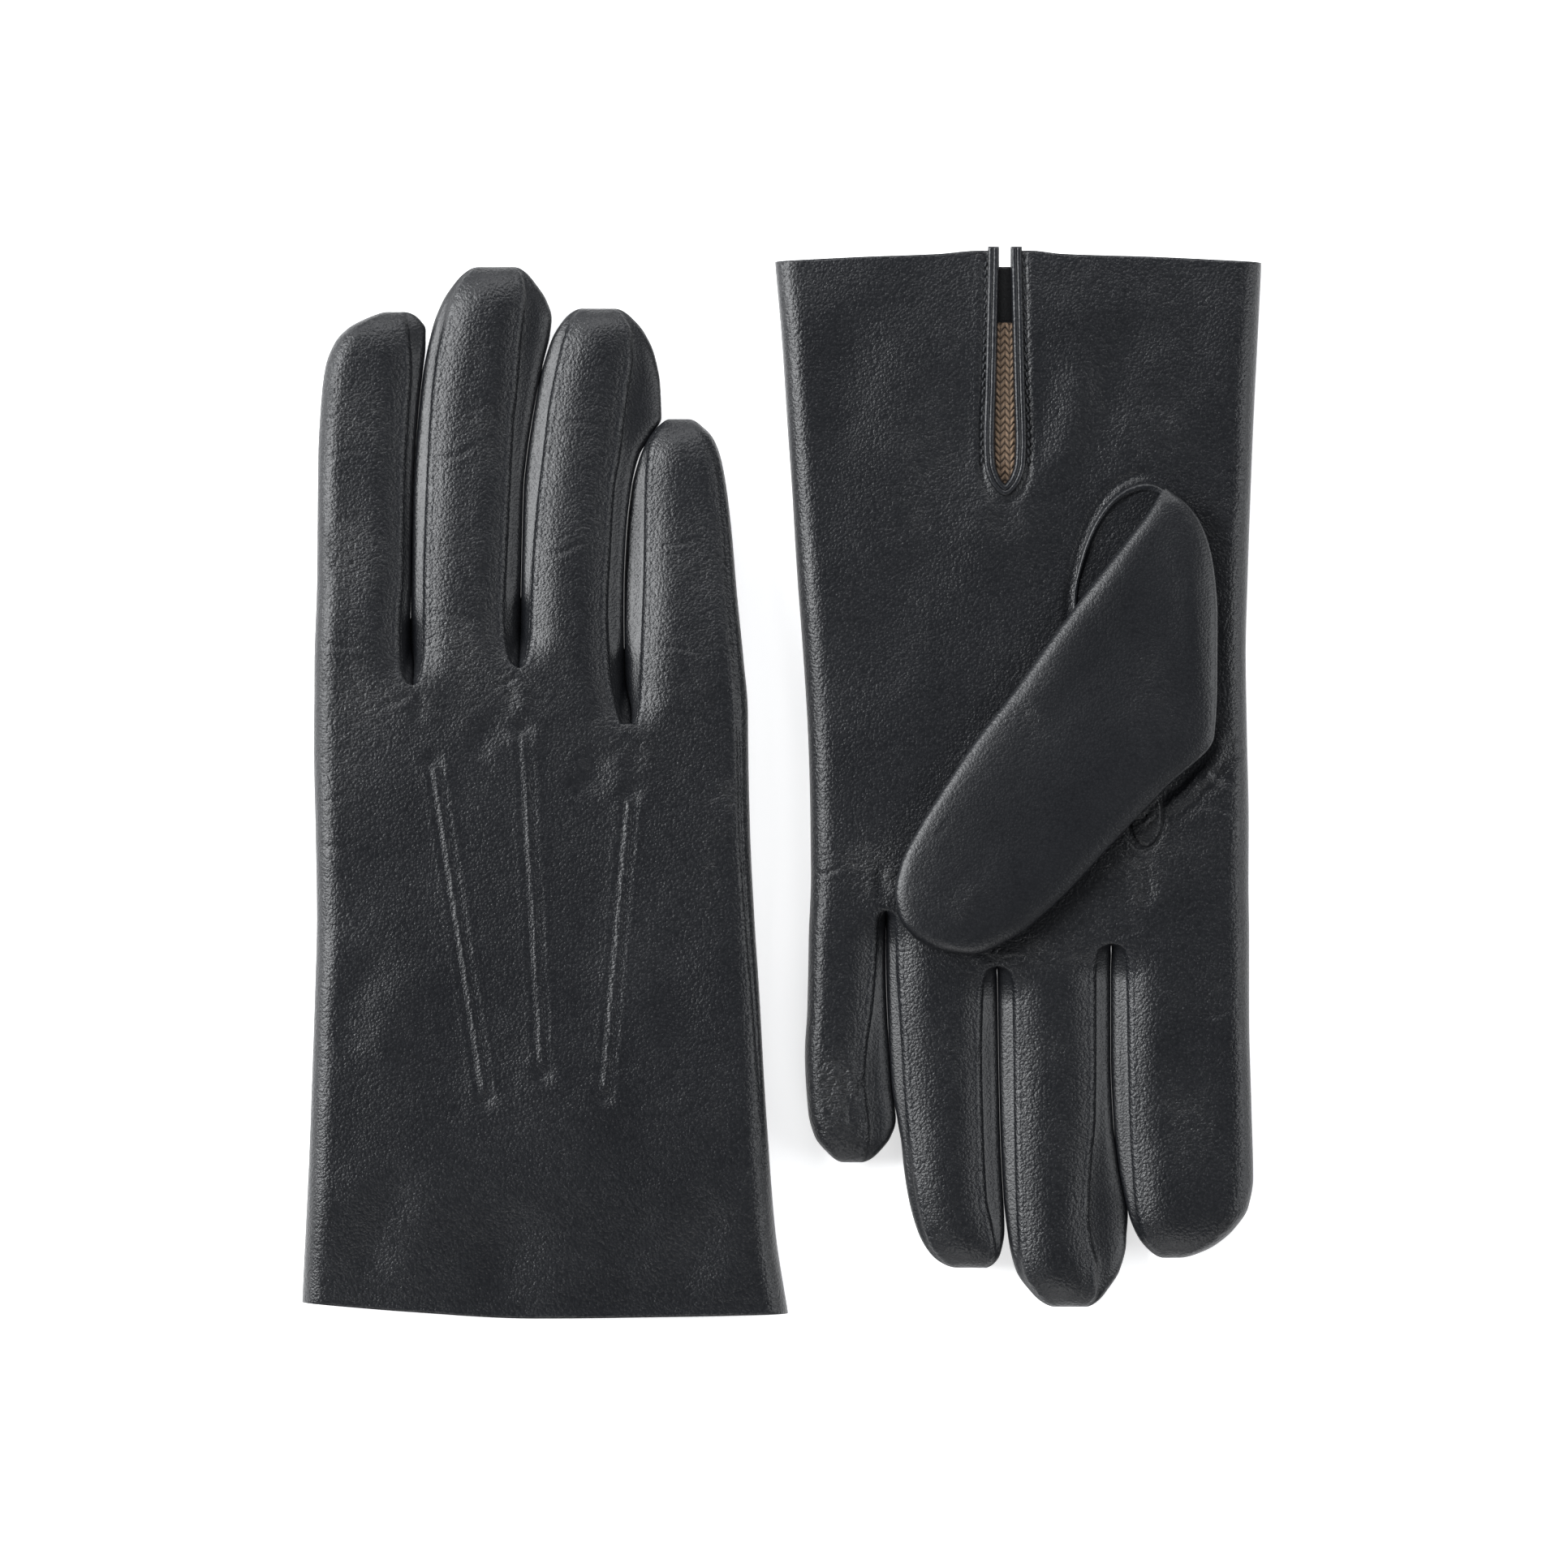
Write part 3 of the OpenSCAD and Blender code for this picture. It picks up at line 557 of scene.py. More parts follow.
def edge_wear_and_highlight(p, g):
    """Wear and painted highlight: higher along the edges of the hand and at the cuff, where the leather
    rubs and where the rounded edges catch the light.
    """
    left, right = curve(EDGE_INDEX, p[..., 1]), curve(EDGE_LITTLE[g], p[..., 1])
    d = np.minimum(p[..., 0] - left, right - p[..., 0])
    return np.exp(-np.clip(d, 0, None) / 1.6) + 0.5 * np.exp(-np.clip(p[..., 1] - 0.3, 0, None) / 0.8)


# ---- materials -------------------------------------------------------------


class Socket:
    """A node socket that can be used in sums: +, -, * and / add Math nodes."""

    def __init__(self, tree, socket):
        self.tree, self.socket = tree, socket

    def _math(self, operation, a, b=None, c=None):
        return self.tree.node("ShaderNodeMath", {"operation": operation}, [a, b, c])

    def __add__(self, o): return self._math("ADD", self, o)
    def __radd__(self, o): return self._math("ADD", o, self)
    def __sub__(self, o): return self._math("SUBTRACT", self, o)
    def __rsub__(self, o): return self._math("SUBTRACT", o, self)
    def __mul__(self, o): return self._math("MULTIPLY", self, o)
    def __rmul__(self, o): return self._math("MULTIPLY", o, self)
    def __truediv__(self, o): return self._math("DIVIDE", self, o)
    def __pow__(self, o): return self._math("POWER", self, o)

    def clamp(self, low, high):
        return self.tree.node("ShaderNodeClamp", {}, {"Value": self, "Min": low, "Max": high})

    def call(self, operation, b=None):
        return self._math(operation, self, b)


class Finish:
    """A material and its nodes."""

    def __init__(self, name):
        self.material = bpy.data.materials.new(name)
        self.material.use_nodes = True
        self.nodes = self.material.node_tree.nodes
        self.links = self.material.node_tree.links
        self.shader = self.nodes["Principled BSDF"]

    def put(self, socket, value):
        if value is None:
            return
        if isinstance(value, Socket):
            self.links.new(value.socket, socket)
        else:
            socket.default_value = value

    def node(self, kind, options=None, inputs=None, output=0):
        """Adds a node: its settings first, then its sockets, by name or in order."""
        n = self.nodes.new(kind)
        for key, value in (options or {}).items():
            if key == "stops":
                ramp = n.color_ramp.elements
                while len(ramp) < len(value):
                    ramp.new(0.5)
                for e, (at, colour) in zip(ramp, value):
                    e.position, e.color = at, colour
            else:
                setattr(n, key, value)
        pairs = inputs.items() if isinstance(inputs, dict) else enumerate(inputs or [])
        for key, value in pairs:
            self.put(n.inputs[key], value)
        return Socket(self, n.outputs[output])

    def mix(self, factor, a, b):
        """Mix of two colours."""
        return self.node("ShaderNodeMix", {"data_type": "RGBA"}, {0: factor, 6: a, 7: b}, 2)

    def set(self, **values):
        names = {"colour": "Base Color", "roughness": "Roughness", "normal": "Normal",
                 "sheen": "Sheen Weight", "specular": "Specular IOR Level"}
        for key, value in values.items():
            self.put(self.shader.inputs[names[key]], value)
        return self.material


def rgba(c, k=1.0):
    return (c[0] * k, c[1] * k, c[2] * k, 1.0)


def leather(name, shade=1.0, rough=0.35, depth=0.00015, fine=1.0):
    """Smooth glove leather: a fine pebble grain, satin gloss, slight changes of tone, paler edges that are
    partly wear and partly painted highlight, and painted shade in the crinkle lines.
    """
    f, s = Finish(name), settings()
    where = f.node("ShaderNodeTexCoord", {}, None, 3)
    bent = f.node("ShaderNodeTexNoise", {}, {"Vector": where, "Scale": 260.0, "Detail": 1.0}, 1)
    nudge = f.node("ShaderNodeVectorMath", {"operation": "MULTIPLY_ADD"}, [bent, (0.0006,) * 3, where])
    cells = f.node("ShaderNodeTexVoronoi", {"feature": "SMOOTH_F1"},
                   {"Vector": nudge, "Scale": fine / s.grain, "Smoothness": 0.6})
    small = f.node("ShaderNodeTexVoronoi", {"feature": "F1"},
                   {"Vector": nudge, "Scale": 2.3 * fine / s.grain})
    fuzz = f.node("ShaderNodeTexNoise", {}, {"Vector": where, "Scale": 2600.0, "Detail": 2.0})
    patch = f.node("ShaderNodeTexNoise", {},
                   {"Vector": where, "Scale": 38.0, "Detail": 3.0, "Roughness": 0.6})
    # this attribute lightens the colour: wear, and painted highlight along edges, folds, seams and rims
    wear = f.node("ShaderNodeAttribute", {"attribute_name": "wear"}, None, 2)
    height = (1 - cells) * (0.6 + 0.5 * patch) + (1 - small) * 0.3 + fuzz * 0.2
    long = f.node("ShaderNodeMapping", {},
                  {"Vector": nudge, "Rotation": (0, 0, 0.5), "Scale": (380.0, 620.0, 500.0)})
    wide = f.node("ShaderNodeTexNoise", {}, {"Vector": where, "Scale": 140.0, "Detail": 2.0}, 1)
    sway = f.node("ShaderNodeVectorMath", {"operation": "MULTIPLY_ADD"}, [wide, (0.9,) * 3, long])
    lines = f.node("ShaderNodeTexVoronoi", {"feature": "DISTANCE_TO_EDGE"}, {"Vector": sway, "Scale": 1.0})
    fine_lines = f.node("ShaderNodeTexVoronoi", {"feature": "DISTANCE_TO_EDGE"},
                        {"Vector": sway, "Scale": 2.1})
    crease = (1 - (lines * 5.0).clamp(0.0, 1.0)) + 0.6 * (1 - (fine_lines * 4.0).clamp(0.0, 1.0))
    crinkle = f.node("ShaderNodeAttribute", {"attribute_name": "crinkle"}, None, 2)
    gate = ((patch - 0.42) * 4.0).clamp(0.15, 1.0)
    # the crinkle lines are also darkened in the colour: painted shade in the creases
    tone = (patch - 0.5) * 0.5 + (cells - 0.45) * -0.3 + 0.42 + wear * 0.3 - crease * crinkle * gate * 0.4
    colour = f.mix(tone.clamp(0.0, 1.0), rgba(s.leather, 0.6 * shade), rgba(s.leather, 1.6 * shade))
    grain = f.node("ShaderNodeBump", {}, {"Height": height, "Strength": 1.0, "Distance": depth})
    bump = f.node("ShaderNodeBump", {"invert": True}, {"Height": crease * crinkle * gate, "Strength": 1.0,
                                                       "Distance": 0.00017, "Normal": grain})
    gloss = rough + (patch - 0.5) * 0.14 + (0.5 - cells) * 0.10 + crinkle * 0.05
    return f.set(colour=colour, normal=bump, specular=0.38, roughness=gloss.clamp(0.2, 0.8))


def knit(name, raised=False):
    """Stockinette knit: columns of small V stitches, fuzzy all over, with painted highlight on the crowns
    of the stitches and painted shade between them.
    On a raised face the stitches are in the surface itself, and the bump adds only the yarn's plies."""
    f, s = Finish(name), settings()
    uv = f.node("ShaderNodeAttribute", {"attribute_name": "flat"}, None, 1)
    axes = f.nodes.new("ShaderNodeSeparateXYZ")
    f.put(axes.inputs[0], uv)
    x, y = Socket(f, axes.outputs[0]), Socket(f, axes.outputs[1])
    half = ((x / KNIT_COLUMN).call("FRACT") - 0.5).call("ABSOLUTE") * 2
    row = ((y / KNIT_ROW) + half * 0.75).call("FRACT")
    leg = 1 - ((row - 0.5).call("ABSOLUTE") * 2) ** 1.6
    valley = (half * 6).call("MINIMUM", 1.0) * ((1 - half) * 6).call("MINIMUM", 1.0)
    yarn = leg * (0.35 + 0.65 * valley)
    plies = ((y * 5.2 + half * 9.0).call("SINE") * 0.5 + 0.5) * 0.5
    where = f.node("ShaderNodeTexCoord", {}, None, 3)
    fuzz = f.node("ShaderNodeTexNoise", {}, {"Vector": where, "Scale": 3200.0, "Detail": 3.0})
    # the colour follows the height of the yarn: painted highlight on the crowns, painted shade between the
    # stitches
    tone = (yarn * 0.8 + fuzz * 0.35 + plies * 0.2 - 0.1).clamp(0.0, 1.0)
    colour = f.mix(tone, rgba(s.knit, 0.22), rgba(s.knit, 1.5))
    height = plies + fuzz * 0.6 if raised else yarn + fuzz * 0.25
    bump = f.node("ShaderNodeBump", {},
                  {"Height": height, "Strength": 1.0, "Distance": 0.0002 if raised else 0.0006})
    return f.set(colour=colour, normal=bump, roughness=0.9 - fuzz * 0.1, sheen=0.35, specular=0.2)


def thread(name):
    """Polished sewing thread: fine twisted plies and a soft shine."""
    f, s = Finish(name), settings()
    where = f.node("ShaderNodeTexCoord", {}, None, 3)
    twist = f.node("ShaderNodeTexWave", {"bands_direction": "DIAGONAL"},
                   {"Vector": where, "Scale": 900.0, "Distortion": 1.0})
    fuzz = f.node("ShaderNodeTexNoise", {}, {"Vector": where, "Scale": 1800.0, "Detail": 2.0})
    # the colour is lighter where the twist stands up: painted highlight on the plies
    colour = f.mix((twist * 0.6 + fuzz * 0.4).clamp(0.0, 1.0), rgba(s.thread, 0.6), rgba(s.thread, 1.7))
    bump = f.node("ShaderNodeBump", {},
                  {"Height": twist + fuzz * 0.3, "Strength": 0.6, "Distance": 0.00006})
    return f.set(colour=colour, normal=bump, roughness=0.42 + fuzz * 0.1, specular=0.35)


MATERIALS = {}


def finish_of(kind):
    """The finish of a kind of piece, made once."""
    if kind not in MATERIALS:
        MATERIALS[kind] = {
            "leather": lambda: leather("black_leather"),
            "smooth": lambda: leather("smooth_black_leather", 1.0, 0.37, 0.000075, 1.15),
            # the facing is a darker, more matte copy of the leather: its darkening is painted shade inside
            # the cuff
            "facing": lambda: leather("facing_leather", 0.5, 0.5, 0.00005, 1.2),
            "knit": lambda: knit("brown_knit"),
            "knit_face": lambda: knit("brown_knit_face", True),
            "thread": lambda: thread("black_thread"),
        }[kind]()
    return MATERIALS[kind]


# ---- hand ------------------------------------------------------------------


class GLOVES_OT_hands(bpy.types.Operator):
    """Back and palm of both gloves, from the cuff to the fingers"""
    bl_idname = "gloves.hands"
    bl_label = "Back and palm"

    def execute(self, context):
        for g in (RIGHT, LEFT):
            p = hand_surface(g)
            rows, columns = p.shape[:2]
            obj = mesh_object(f"{SIDES[g]}_back_and_palm", place(g, p).reshape(-1, 3),
                              grid_faces(rows, columns), finish_of("leather"), edge_wear_and_highlight(p, g),
                              crinkled(CRINKLES[g], p[..., 0], p[..., 1]))
            tidy_mesh(obj)
            thicken(obj, HAND_SHEET)
            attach(obj, f"{SIDES[g]}_hand")
            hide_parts(f"{SIDES[g]}_trank", f"{SIDES[g]}_outseam", f"{SIDES[g]}_thumb_seam")
            if g == RIGHT:
                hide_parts("right_points")
        return {"FINISHED"}


# ---- fingers ---------------------------------------------------------------

# How far the seams of the under side lie inside the outline of a finger.
UNDER_INSET = 2.6


def finger_parts(g, f, inset=0.0):
    """The four parts of a finger as grids that share their edges: upper panel, little-side strip,
    under panel and index-side strip. Rows are level in y and close together near the tip and the crotch."""
    shape, tip = SHAPES[g][f], TIPS[g][f]
    start = SPLIT[g]
    full = tip - 12
    near = [np.arange(start, full, 0.7), full + (tip - full) * np.sin(np.linspace(0, math.pi / 2, 34))]
    for n in (f - 1, f):
        if 0 <= n < 3:
            near.append(np.arange(CROTCH_TOP[g][n] - 0.7, CROTCH_TOP[g][n] + 3.5, 0.35))
    rows = np.unique(np.round(np.concatenate(near), 3))
    rows = rows[(rows >= start) & (rows <= tip)]
    y = rows[:, None]

    top, low = upper(g, y), under(g, y)
    mid, half = (top + low) / 2, (top - low) / 2
    mid = mid - FINGER_SAG[g] * smooth(ROOT[f] - 4, tip - 14, y)
    thin = 1 - (1 - np.clip((tip - y) / TIP_ROUND, 0, 1)) ** 2.4
    half = np.maximum(half * (1 - 0.10 * smooth(150, 200, y)) * np.clip(thin, 0.0, 1) ** 0.5, 0.12)

    fold_l, fold_r = f == 0, f == 3

    def turned(v):
        """A coordinate along the finger, stretched near the tip so that outlines end square to it."""
        t = np.clip((np.asarray(v, float) - tip) / TIP_ROUND + 1, None, 1)
        return np.where(t < 0, t, np.arcsin(np.clip(t, 0, 1)))

    def side_curve(key):
        points = np.array(shape[key], float)
        own = curve(np.stack([turned(points[:, 0]), points[:, 1]], 1), turned(y))
        if (key == "sl" and fold_l) or (key == "sr" and fold_r):
            edge = curve(EDGE_INDEX if fold_l else EDGE_LITTLE[g], y)
            own = edge + (own - edge) * smooth(start, start + 16, y)
        return own

    def seam(key, n, crotch):
        """A seam or outline: the line between the fingers up to the crotch, then its own curve."""
        own = side_curve(key)
        line = PART_X[g][n] + (CROTCH_X[g][n] - PART_X[g][n]) * smooth(start, CROTCH_TOP[g][n], y)
        return np.where(y < crotch, line, own), line

    parts = {}
    # outlines and seams on both sides
    if fold_l:
        vl = sl = hl = side_curve("sl")
    else:
        vl, line_l = seam("vl", f - 1, CROTCH_TOP[g][f - 1])
        sl, _ = seam("sl", f - 1, CROTCH_TOP[g][f - 1])
        opening = smooth(CROTCH_UNDER[g][f - 1], CROTCH_UNDER[g][f - 1] + 4, y)
        hl = line_l + (side_curve("sl") + UNDER_INSET - line_l) * opening
    if fold_r:
        vr = sr = hr = side_curve("sr")
    else:
        vr, line_r = seam("vr", f, CROTCH_TOP[g][f])
        sr, _ = seam("sr", f, CROTCH_TOP[g][f])
        opening = smooth(CROTCH_UNDER[g][f], CROTCH_UNDER[g][f] + 4, y)
        hr = line_r + (side_curve("sr") - UNDER_INSET - line_r) * opening
    for n in (f - 1, f):
        if 0 <= n < 3:
            end = min(TIPS[g][n], TIPS[g][n + 1])
            touch = smooth(CROTCH_TOP[g][n] - 1, CROTCH_TOP[g][n] + 3, y)
            touch = touch * (1 - smooth(end - 16, end - 5, y))
            middle = (curve(SHAPES[g][n]["sr"], y) + curve(SHAPES[g][n + 1]["sl"], y)) / 2
            if n < f:
                sl = sl + np.clip(middle + 0.02 - sl, -1.8, 1.8) * touch
            else:
                sr = sr + np.clip(middle - 0.02 - sr, -1.8, 1.8) * touch
    closing = smooth(tip - 3, tip, y)
    centre = (sl + sr) / 2
    if not fold_l:
        hl = np.minimum(hl, centre - 0.5)
        hl = hl + (vl - hl) * closing
    if not fold_r:
        hr = np.maximum(hr, centre + 0.5)
        hr = hr + (vr - hr) * closing
    sl, vl, hl, sr, vr, hr = sl + inset, vl + inset, hl + inset, sr - inset, vr - inset, hr - inset
    half = np.maximum(half - inset, 0.1)

    def panel(xl, xr, side, crotches):
        u = spread(46, 0.8)[None]
        x = xl + (xr - xl) * u
        yy = np.broadcast_to(y, x.shape)
        radius = np.clip(0.3 * (xr - xl), 0.5, 6)
        e, lift, wear = np.ones_like(x), np.ones_like(x), np.zeros_like(x)
        for folded, d, n in ((fold_l, x - xl, f - 1), (fold_r, xr - x, f)):
            if folded:
                e = e * rounding(d, radius)
                lift = lift * rounding(d, 7)
                # the folded edge gets wear and painted highlight
                wear = wear + np.exp(-d / 1.6)
            else:
                on = smooth(crotches[n] - 2, crotches[n] + 9, yy)
                sewn = smooth(crotches[n] - 0.5, crotches[n] + 1.5, yy)
                e = e * (1 - on * 0.42 * (1 - np.clip(d / 9.0, 0, 1)) ** 2.2)
                pucker = 1 + 0.35 * np.sin(yy * 6.283 / 2.2)
                e = e - sewn * (0.10 * np.exp(-(d / 0.4) ** 2)
                                - 0.025 * pucker * np.exp(-((d - 1.3) / 0.5) ** 2))
                lift = lift * (1 - sewn * (1 - rounding(d + 0.8, 3)))
                # painted highlight on the rolled edge beside the seam, stored with the wear
                wear = wear + sewn * 0.8 * np.exp(-((d - 1.3) / 0.6) ** 2)
        e = e * (crown(g, x, yy) + (1 - crown(g, x, yy)) * smooth(start + 4, start + 30, yy))
        z = mid + side * half * e
        if side == 1 and inset == 0:
            z = z + relief(g, x, yy) * lift * np.clip(thin, 0, 1)
        elif inset == 0:
            z = z + 0.1 * waves(x, yy, 31 + g, 14) * lift
        return np.stack([x, yy, z], -1), wear

    up, wu = panel(vl, vr, 1, CROTCH_TOP[g])
    un, wn = panel(hl, hr, -1, CROTCH_UNDER[g])

    def strip(edge_top, edge_low, out, n):
        t = np.linspace(0, 1, 15)[None]
        yy = np.broadcast_to(y, (len(rows), 15))
        a, b = edge_top[:, None, :], edge_low[:, None, :]
        bulge = 2 * out - (a[..., 0] + b[..., 0]) / 2
        x = (1 - t) ** 2 * a[..., 0] + 2 * t * (1 - t) * bulge + t * t * b[..., 0]
        line = PART_X[g][n] + (CROTCH_X[g][n] - PART_X[g][n]) * smooth(start, CROTCH_TOP[g][n], y)
        crotch = CROTCH_TOP[g][n] + (CROTCH_UNDER[g][n] - CROTCH_TOP[g][n]) * t
        gate = smooth(0, 3.0, yy - crotch)
        inner = np.where((t > 0) & (t < 1), gate, 1.0)
        x = np.where((t > 0) & (t < 1), line + (x - line) * inner, x)
        z = a[..., 2] + (b[..., 2] - a[..., 2]) * t
        z = z - 0.3 * np.exp(-(t / 0.09) ** 2) * gate * (t > 0)
        p = np.stack([x, yy, z], -1)
        p[:, 0], p[:, -1] = edge_top, edge_low
        return p

    parts["upper"] = (up, wu)
    parts["under"] = (un[:, ::-1], wn[:, ::-1])
    if not fold_r:
        parts["outer"] = strip(up[:, -1], un[:, -1], sr, f)
    if not fold_l:
        parts["inner"] = strip(up[:, 0], un[:, 0], sl, f - 1)[:, ::-1]
    return parts


def joined(name, grids, material, wear=None, crinkle=None):
    """One object from several grids, with the points on shared edges joined."""
    points, faces, start = [], [], 0
    for p in grids:
        faces.append(grid_faces(p.shape[0], p.shape[1], start=start))
        points.append(p.reshape(-1, 3))
        start += p.shape[0] * p.shape[1]
    values = (None if w is None else np.concatenate([v.ravel() for v in w]) for w in (wear, crinkle))
    obj = mesh_object(name, np.concatenate(points), np.concatenate(faces), material, *values)
    tidy_mesh(obj)
    return obj


def bend_span(g, f):
    """Start and end of the stretch of a finger just past its root, in the model's place, in metres."""
    x = (CROTCH_X[g][max(f - 1, 0)] + CROTCH_X[g][min(f, 2)]) / 2
    a = place(g, np.array([x, ROOT[f] - 0.5, 0.0]))
    b = place(g, np.array([x, ROOT[f] + 15.0, 0.0]))
    return tuple(a), tuple(b)


class GLOVES_OT_fingers(bpy.types.Operator):
    """Stalls and fourchettes of the eight fingers"""
    bl_idname = "gloves.fingers"
    bl_label = "Fingers"

    def execute(self, context):
        for g in (RIGHT, LEFT):
            for f, name in enumerate(FINGERS):
                parts = finger_parts(g, f)
                full = f"{SIDES[g]}_{name}"
                (up, wu), (un, wn) = parts["upper"], parts["under"]
                cap = np.stack([up[-1], un[-1][::-1]], 0)
                rough = [crinkled(CRINKLES[g], q[..., 0], q[..., 1]) for q in (up, un, cap)]
                obj = joined(f"{full}_leather", [place(g, up), place(g, un), place(g, cap)],
                             finish_of("leather"), [wu, wn, np.zeros(cap.shape[:2])], rough)
                start, end = bend_span(g, f)
                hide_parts(f"{full}_stall")
                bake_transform(obj)
                for side in ("outer", "inner"):
                    if side in parts:
                        q = parts[side]
                        fine = crinkled(CRINKLES[g], q[..., 0], q[..., 1]) * 0.4
                        s = joined(f"{full}_{side}_strip", [place(g, q)], finish_of("smooth"),
                                   [np.zeros(q.shape[:2])], [fine])
                        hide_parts(f"{full}_{side}_fourchette")
                        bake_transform(s)
        return {"FINISHED"}


# ---- thumb -----------------------------------------------------------------

# The folded thumb: points along the edge towards the cuff, and along the other edge.
THUMB_NEAR = [(-31.4, 55.9), (-28.8, 60.2), (-23.4, 67.2), (-15.6, 77.2), (-6.4, 89.5), (3.3, 103),
              (13, 115.6), (20.9, 127.3), (26.7, 136.6), (31, 145.2), (32.4, 152), (31.2, 158.4),
              (27.6, 163.2)]
THUMB_FAR = [(-32.8, 55.2), (-37.6, 58.8), (-41.4, 64.4), (-44, 73.6), (-45, 86), (-44.9, 103),
             (-44.2, 114.8), (-32, 127.6), (-19, 141.2), (-7, 154), (4, 163), (14, 167), (23.4, 165.6)]
# How far the tip is tucked towards the cuff on each glove.
TUCK = (12, 0)


def thumb_surface(g, inset=0.0):
    """The thumb as closed rings from the base to the tip. Each ring spans the two edges; it is full in the
    middle, comes to a soft fold along the edge towards the cuff and rounds off at the tip."""
    k = np.linspace(0, 12, 13)
    s = np.concatenate([np.linspace(0, 0.5, 10)[:-1], np.linspace(0.5, 11.2, 110)[:-1],
                        11.2 + 0.8 * np.sin(np.linspace(0, math.pi / 2, 16))])
    a = np.stack([curve(list(zip(k, [p[i] for p in THUMB_NEAR])), s) for i in (0, 1)], -1)
    b = np.stack([curve(list(zip(k, [p[i] for p in THUMB_FAR])), s) for i in (0, 1)], -1)
    for edge in (a, b):
        edge[:, 1] -= TUCK[g] * np.clip((edge[:, 1] - 98) / 69, 0, None)
    mid = 3.7 if g == RIGHT else 16.6
    half = 3.55 * curve([(0, 0.3), (1, 0.7), (2, 0.88), (3.2, 1), (9.6, 1), (10.8, 0.86), (11.6, 0.6),
                         (12, 0.16)], s)
    t = np.linspace(0, 2 * math.pi, 97)[:-1]
    c, n = np.cos(t), np.sin(t)
    u = np.sign(c) * np.abs(c) ** 0.8
    v = np.sign(n) * np.abs(n) ** 0.62
    m, w = (a + b) / 2, (a - b) / 2
    length = np.linalg.norm(w, axis=-1, keepdims=True)
    w = w * (1 - inset / np.maximum(length, inset + 0.01))
    xy = m[:, None, :] + w[:, None, :] * u[None, :, None]
    z = mid + np.maximum(half - inset, 0.05)[:, None] * v[None, :]
    if inset == 0:
        h = 0.16 * waves(xy[..., 0], xy[..., 1], 41, 30) + 0.05 * waves(xy[..., 0], xy[..., 1], 42, 8)
        for line in THUMB_CREASES:
            h = h + stroke(xy[..., 0], xy[..., 1], line)
        side = 1 if g == LEFT else -1
        z = z + h * np.clip(v[None, :] * side, 0, 1) ** 2 * side
    return np.concatenate([xy, z[..., None]], -1)


def gusset_surface(g):
    """The leather between the thumb hole and the thumb: a low dome whose rim is rolled over the seam.
    Its outline is a rounded loop from the crotch of the thumb round the end towards the cuff."""
    r = np.concatenate([np.linspace(0.03, 0.8, 22), np.linspace(0.82, 1.0, 16)])[:, None]
    t = np.linspace(0, 2 * math.pi, 161)[None, :-1]
    x = THUMB_HOLE[0] + THUMB_HOLE[2] * r * np.cos(t)
    y = THUMB_HOLE[1] + THUMB_HOLE[3] * r * np.sin(t)
    base, side = palm_at(g, y)
    rim = np.exp(-((r - 0.955) / 0.03) ** 2)
    up = 0.15 + 0.9 * rim - 0.35 * smooth(0.94, 0.86, r) - 1.2 * smooth(0.975, 1.0, r) ** 2
    fold = (x + 31.4) * 0.81 - (y - 55.9) * 0.59
    up = up - 0.45 * np.exp(-((fold - 2.2) / 2.4) ** 2) * (r < 0.97)
    up = up + 0.12 * waves(x, y, 71, 8) * (1 - rim) * smooth(1, 0.9, r)
    # the second result is a painted highlight along the rolled rim
    return np.stack([x, y, base + side * up], -1), rim * np.ones_like(t)


class GLOVES_OT_thumbs(bpy.types.Operator):
    """Folded thumbs with their linings"""
    bl_idname = "gloves.thumbs"
    bl_label = "Thumbs"

    def execute(self, context):
        for g in (RIGHT, LEFT):
            p, rim = gusset_surface(g)
            # the rim's painted highlight is stored with the wear
            obj = mesh_object(f"{SIDES[g]}_thumb_hole_rim", place(g, p).reshape(-1, 3),
                              grid_faces(*p.shape[:2], ring=True), finish_of("smooth"), rim * 0.8,
                              np.full(p.shape[:2], 0.15))
            face_towards(obj, 1 if g == LEFT else -1)
            thicken(obj, GUSSET_SHEET)
            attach(obj, f"{SIDES[g]}_hand")
            for kind, inset, finish in (("thumb_leather", 0.0, "smooth"), ("thumb_knit", 1.0, "knit")):
                p = thumb_surface(g, inset)
                rows, columns = p.shape[:2]
                faces = grid_faces(rows, columns, ring=True)
                points = place(g, p).reshape(-1, 3)
                ends = np.stack([points[:columns].mean(0), points[-columns:].mean(0)])
                n = len(points)
                ring = np.arange(columns)
                nxt = (ring + 1) % columns
                last = (rows - 1) * columns
                base, tip = np.full(columns, n), np.full(columns, n + 1)
                cap = np.concatenate([np.stack([nxt, ring, base, base], 1),
                                      np.stack([last + ring, last + nxt, tip, tip], 1)])
                # painted highlight along both folded edges of the thumb, stored with the wear
                edge = np.abs(np.cos(np.linspace(0, 2 * math.pi, columns + 1)[:-1])) ** 30
                fold_highlight = np.broadcast_to(edge, p.shape[:2])
                rough = crinkled(THUMB_CRINKLES, p[..., 0], p[..., 1])
                obj = mesh_object(f"{SIDES[g]}_{kind}", np.concatenate([points, ends]),
                                  np.concatenate([faces, cap]), finish_of(finish),
                                  np.append(fold_highlight.ravel(), [0, 0]), np.append(rough.ravel(), [0, 0]))
                tidy_mesh(obj)
                body = f"{SIDES[g]}_thumb"
                if inset == 0:
                    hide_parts(f"{SIDES[g]}_thumb_stall")
                    a, b = place(g, np.array([-44.0, 98.0, 0])), place(g, np.array([-37.0, 98.0, 0]))
                    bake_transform(obj)
                else:
                    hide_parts(f"{SIDES[g]}_thumb_lining")
                    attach(obj, body)
        return {"FINISHED"}


# ---- linings ---------------------------------------------------------------


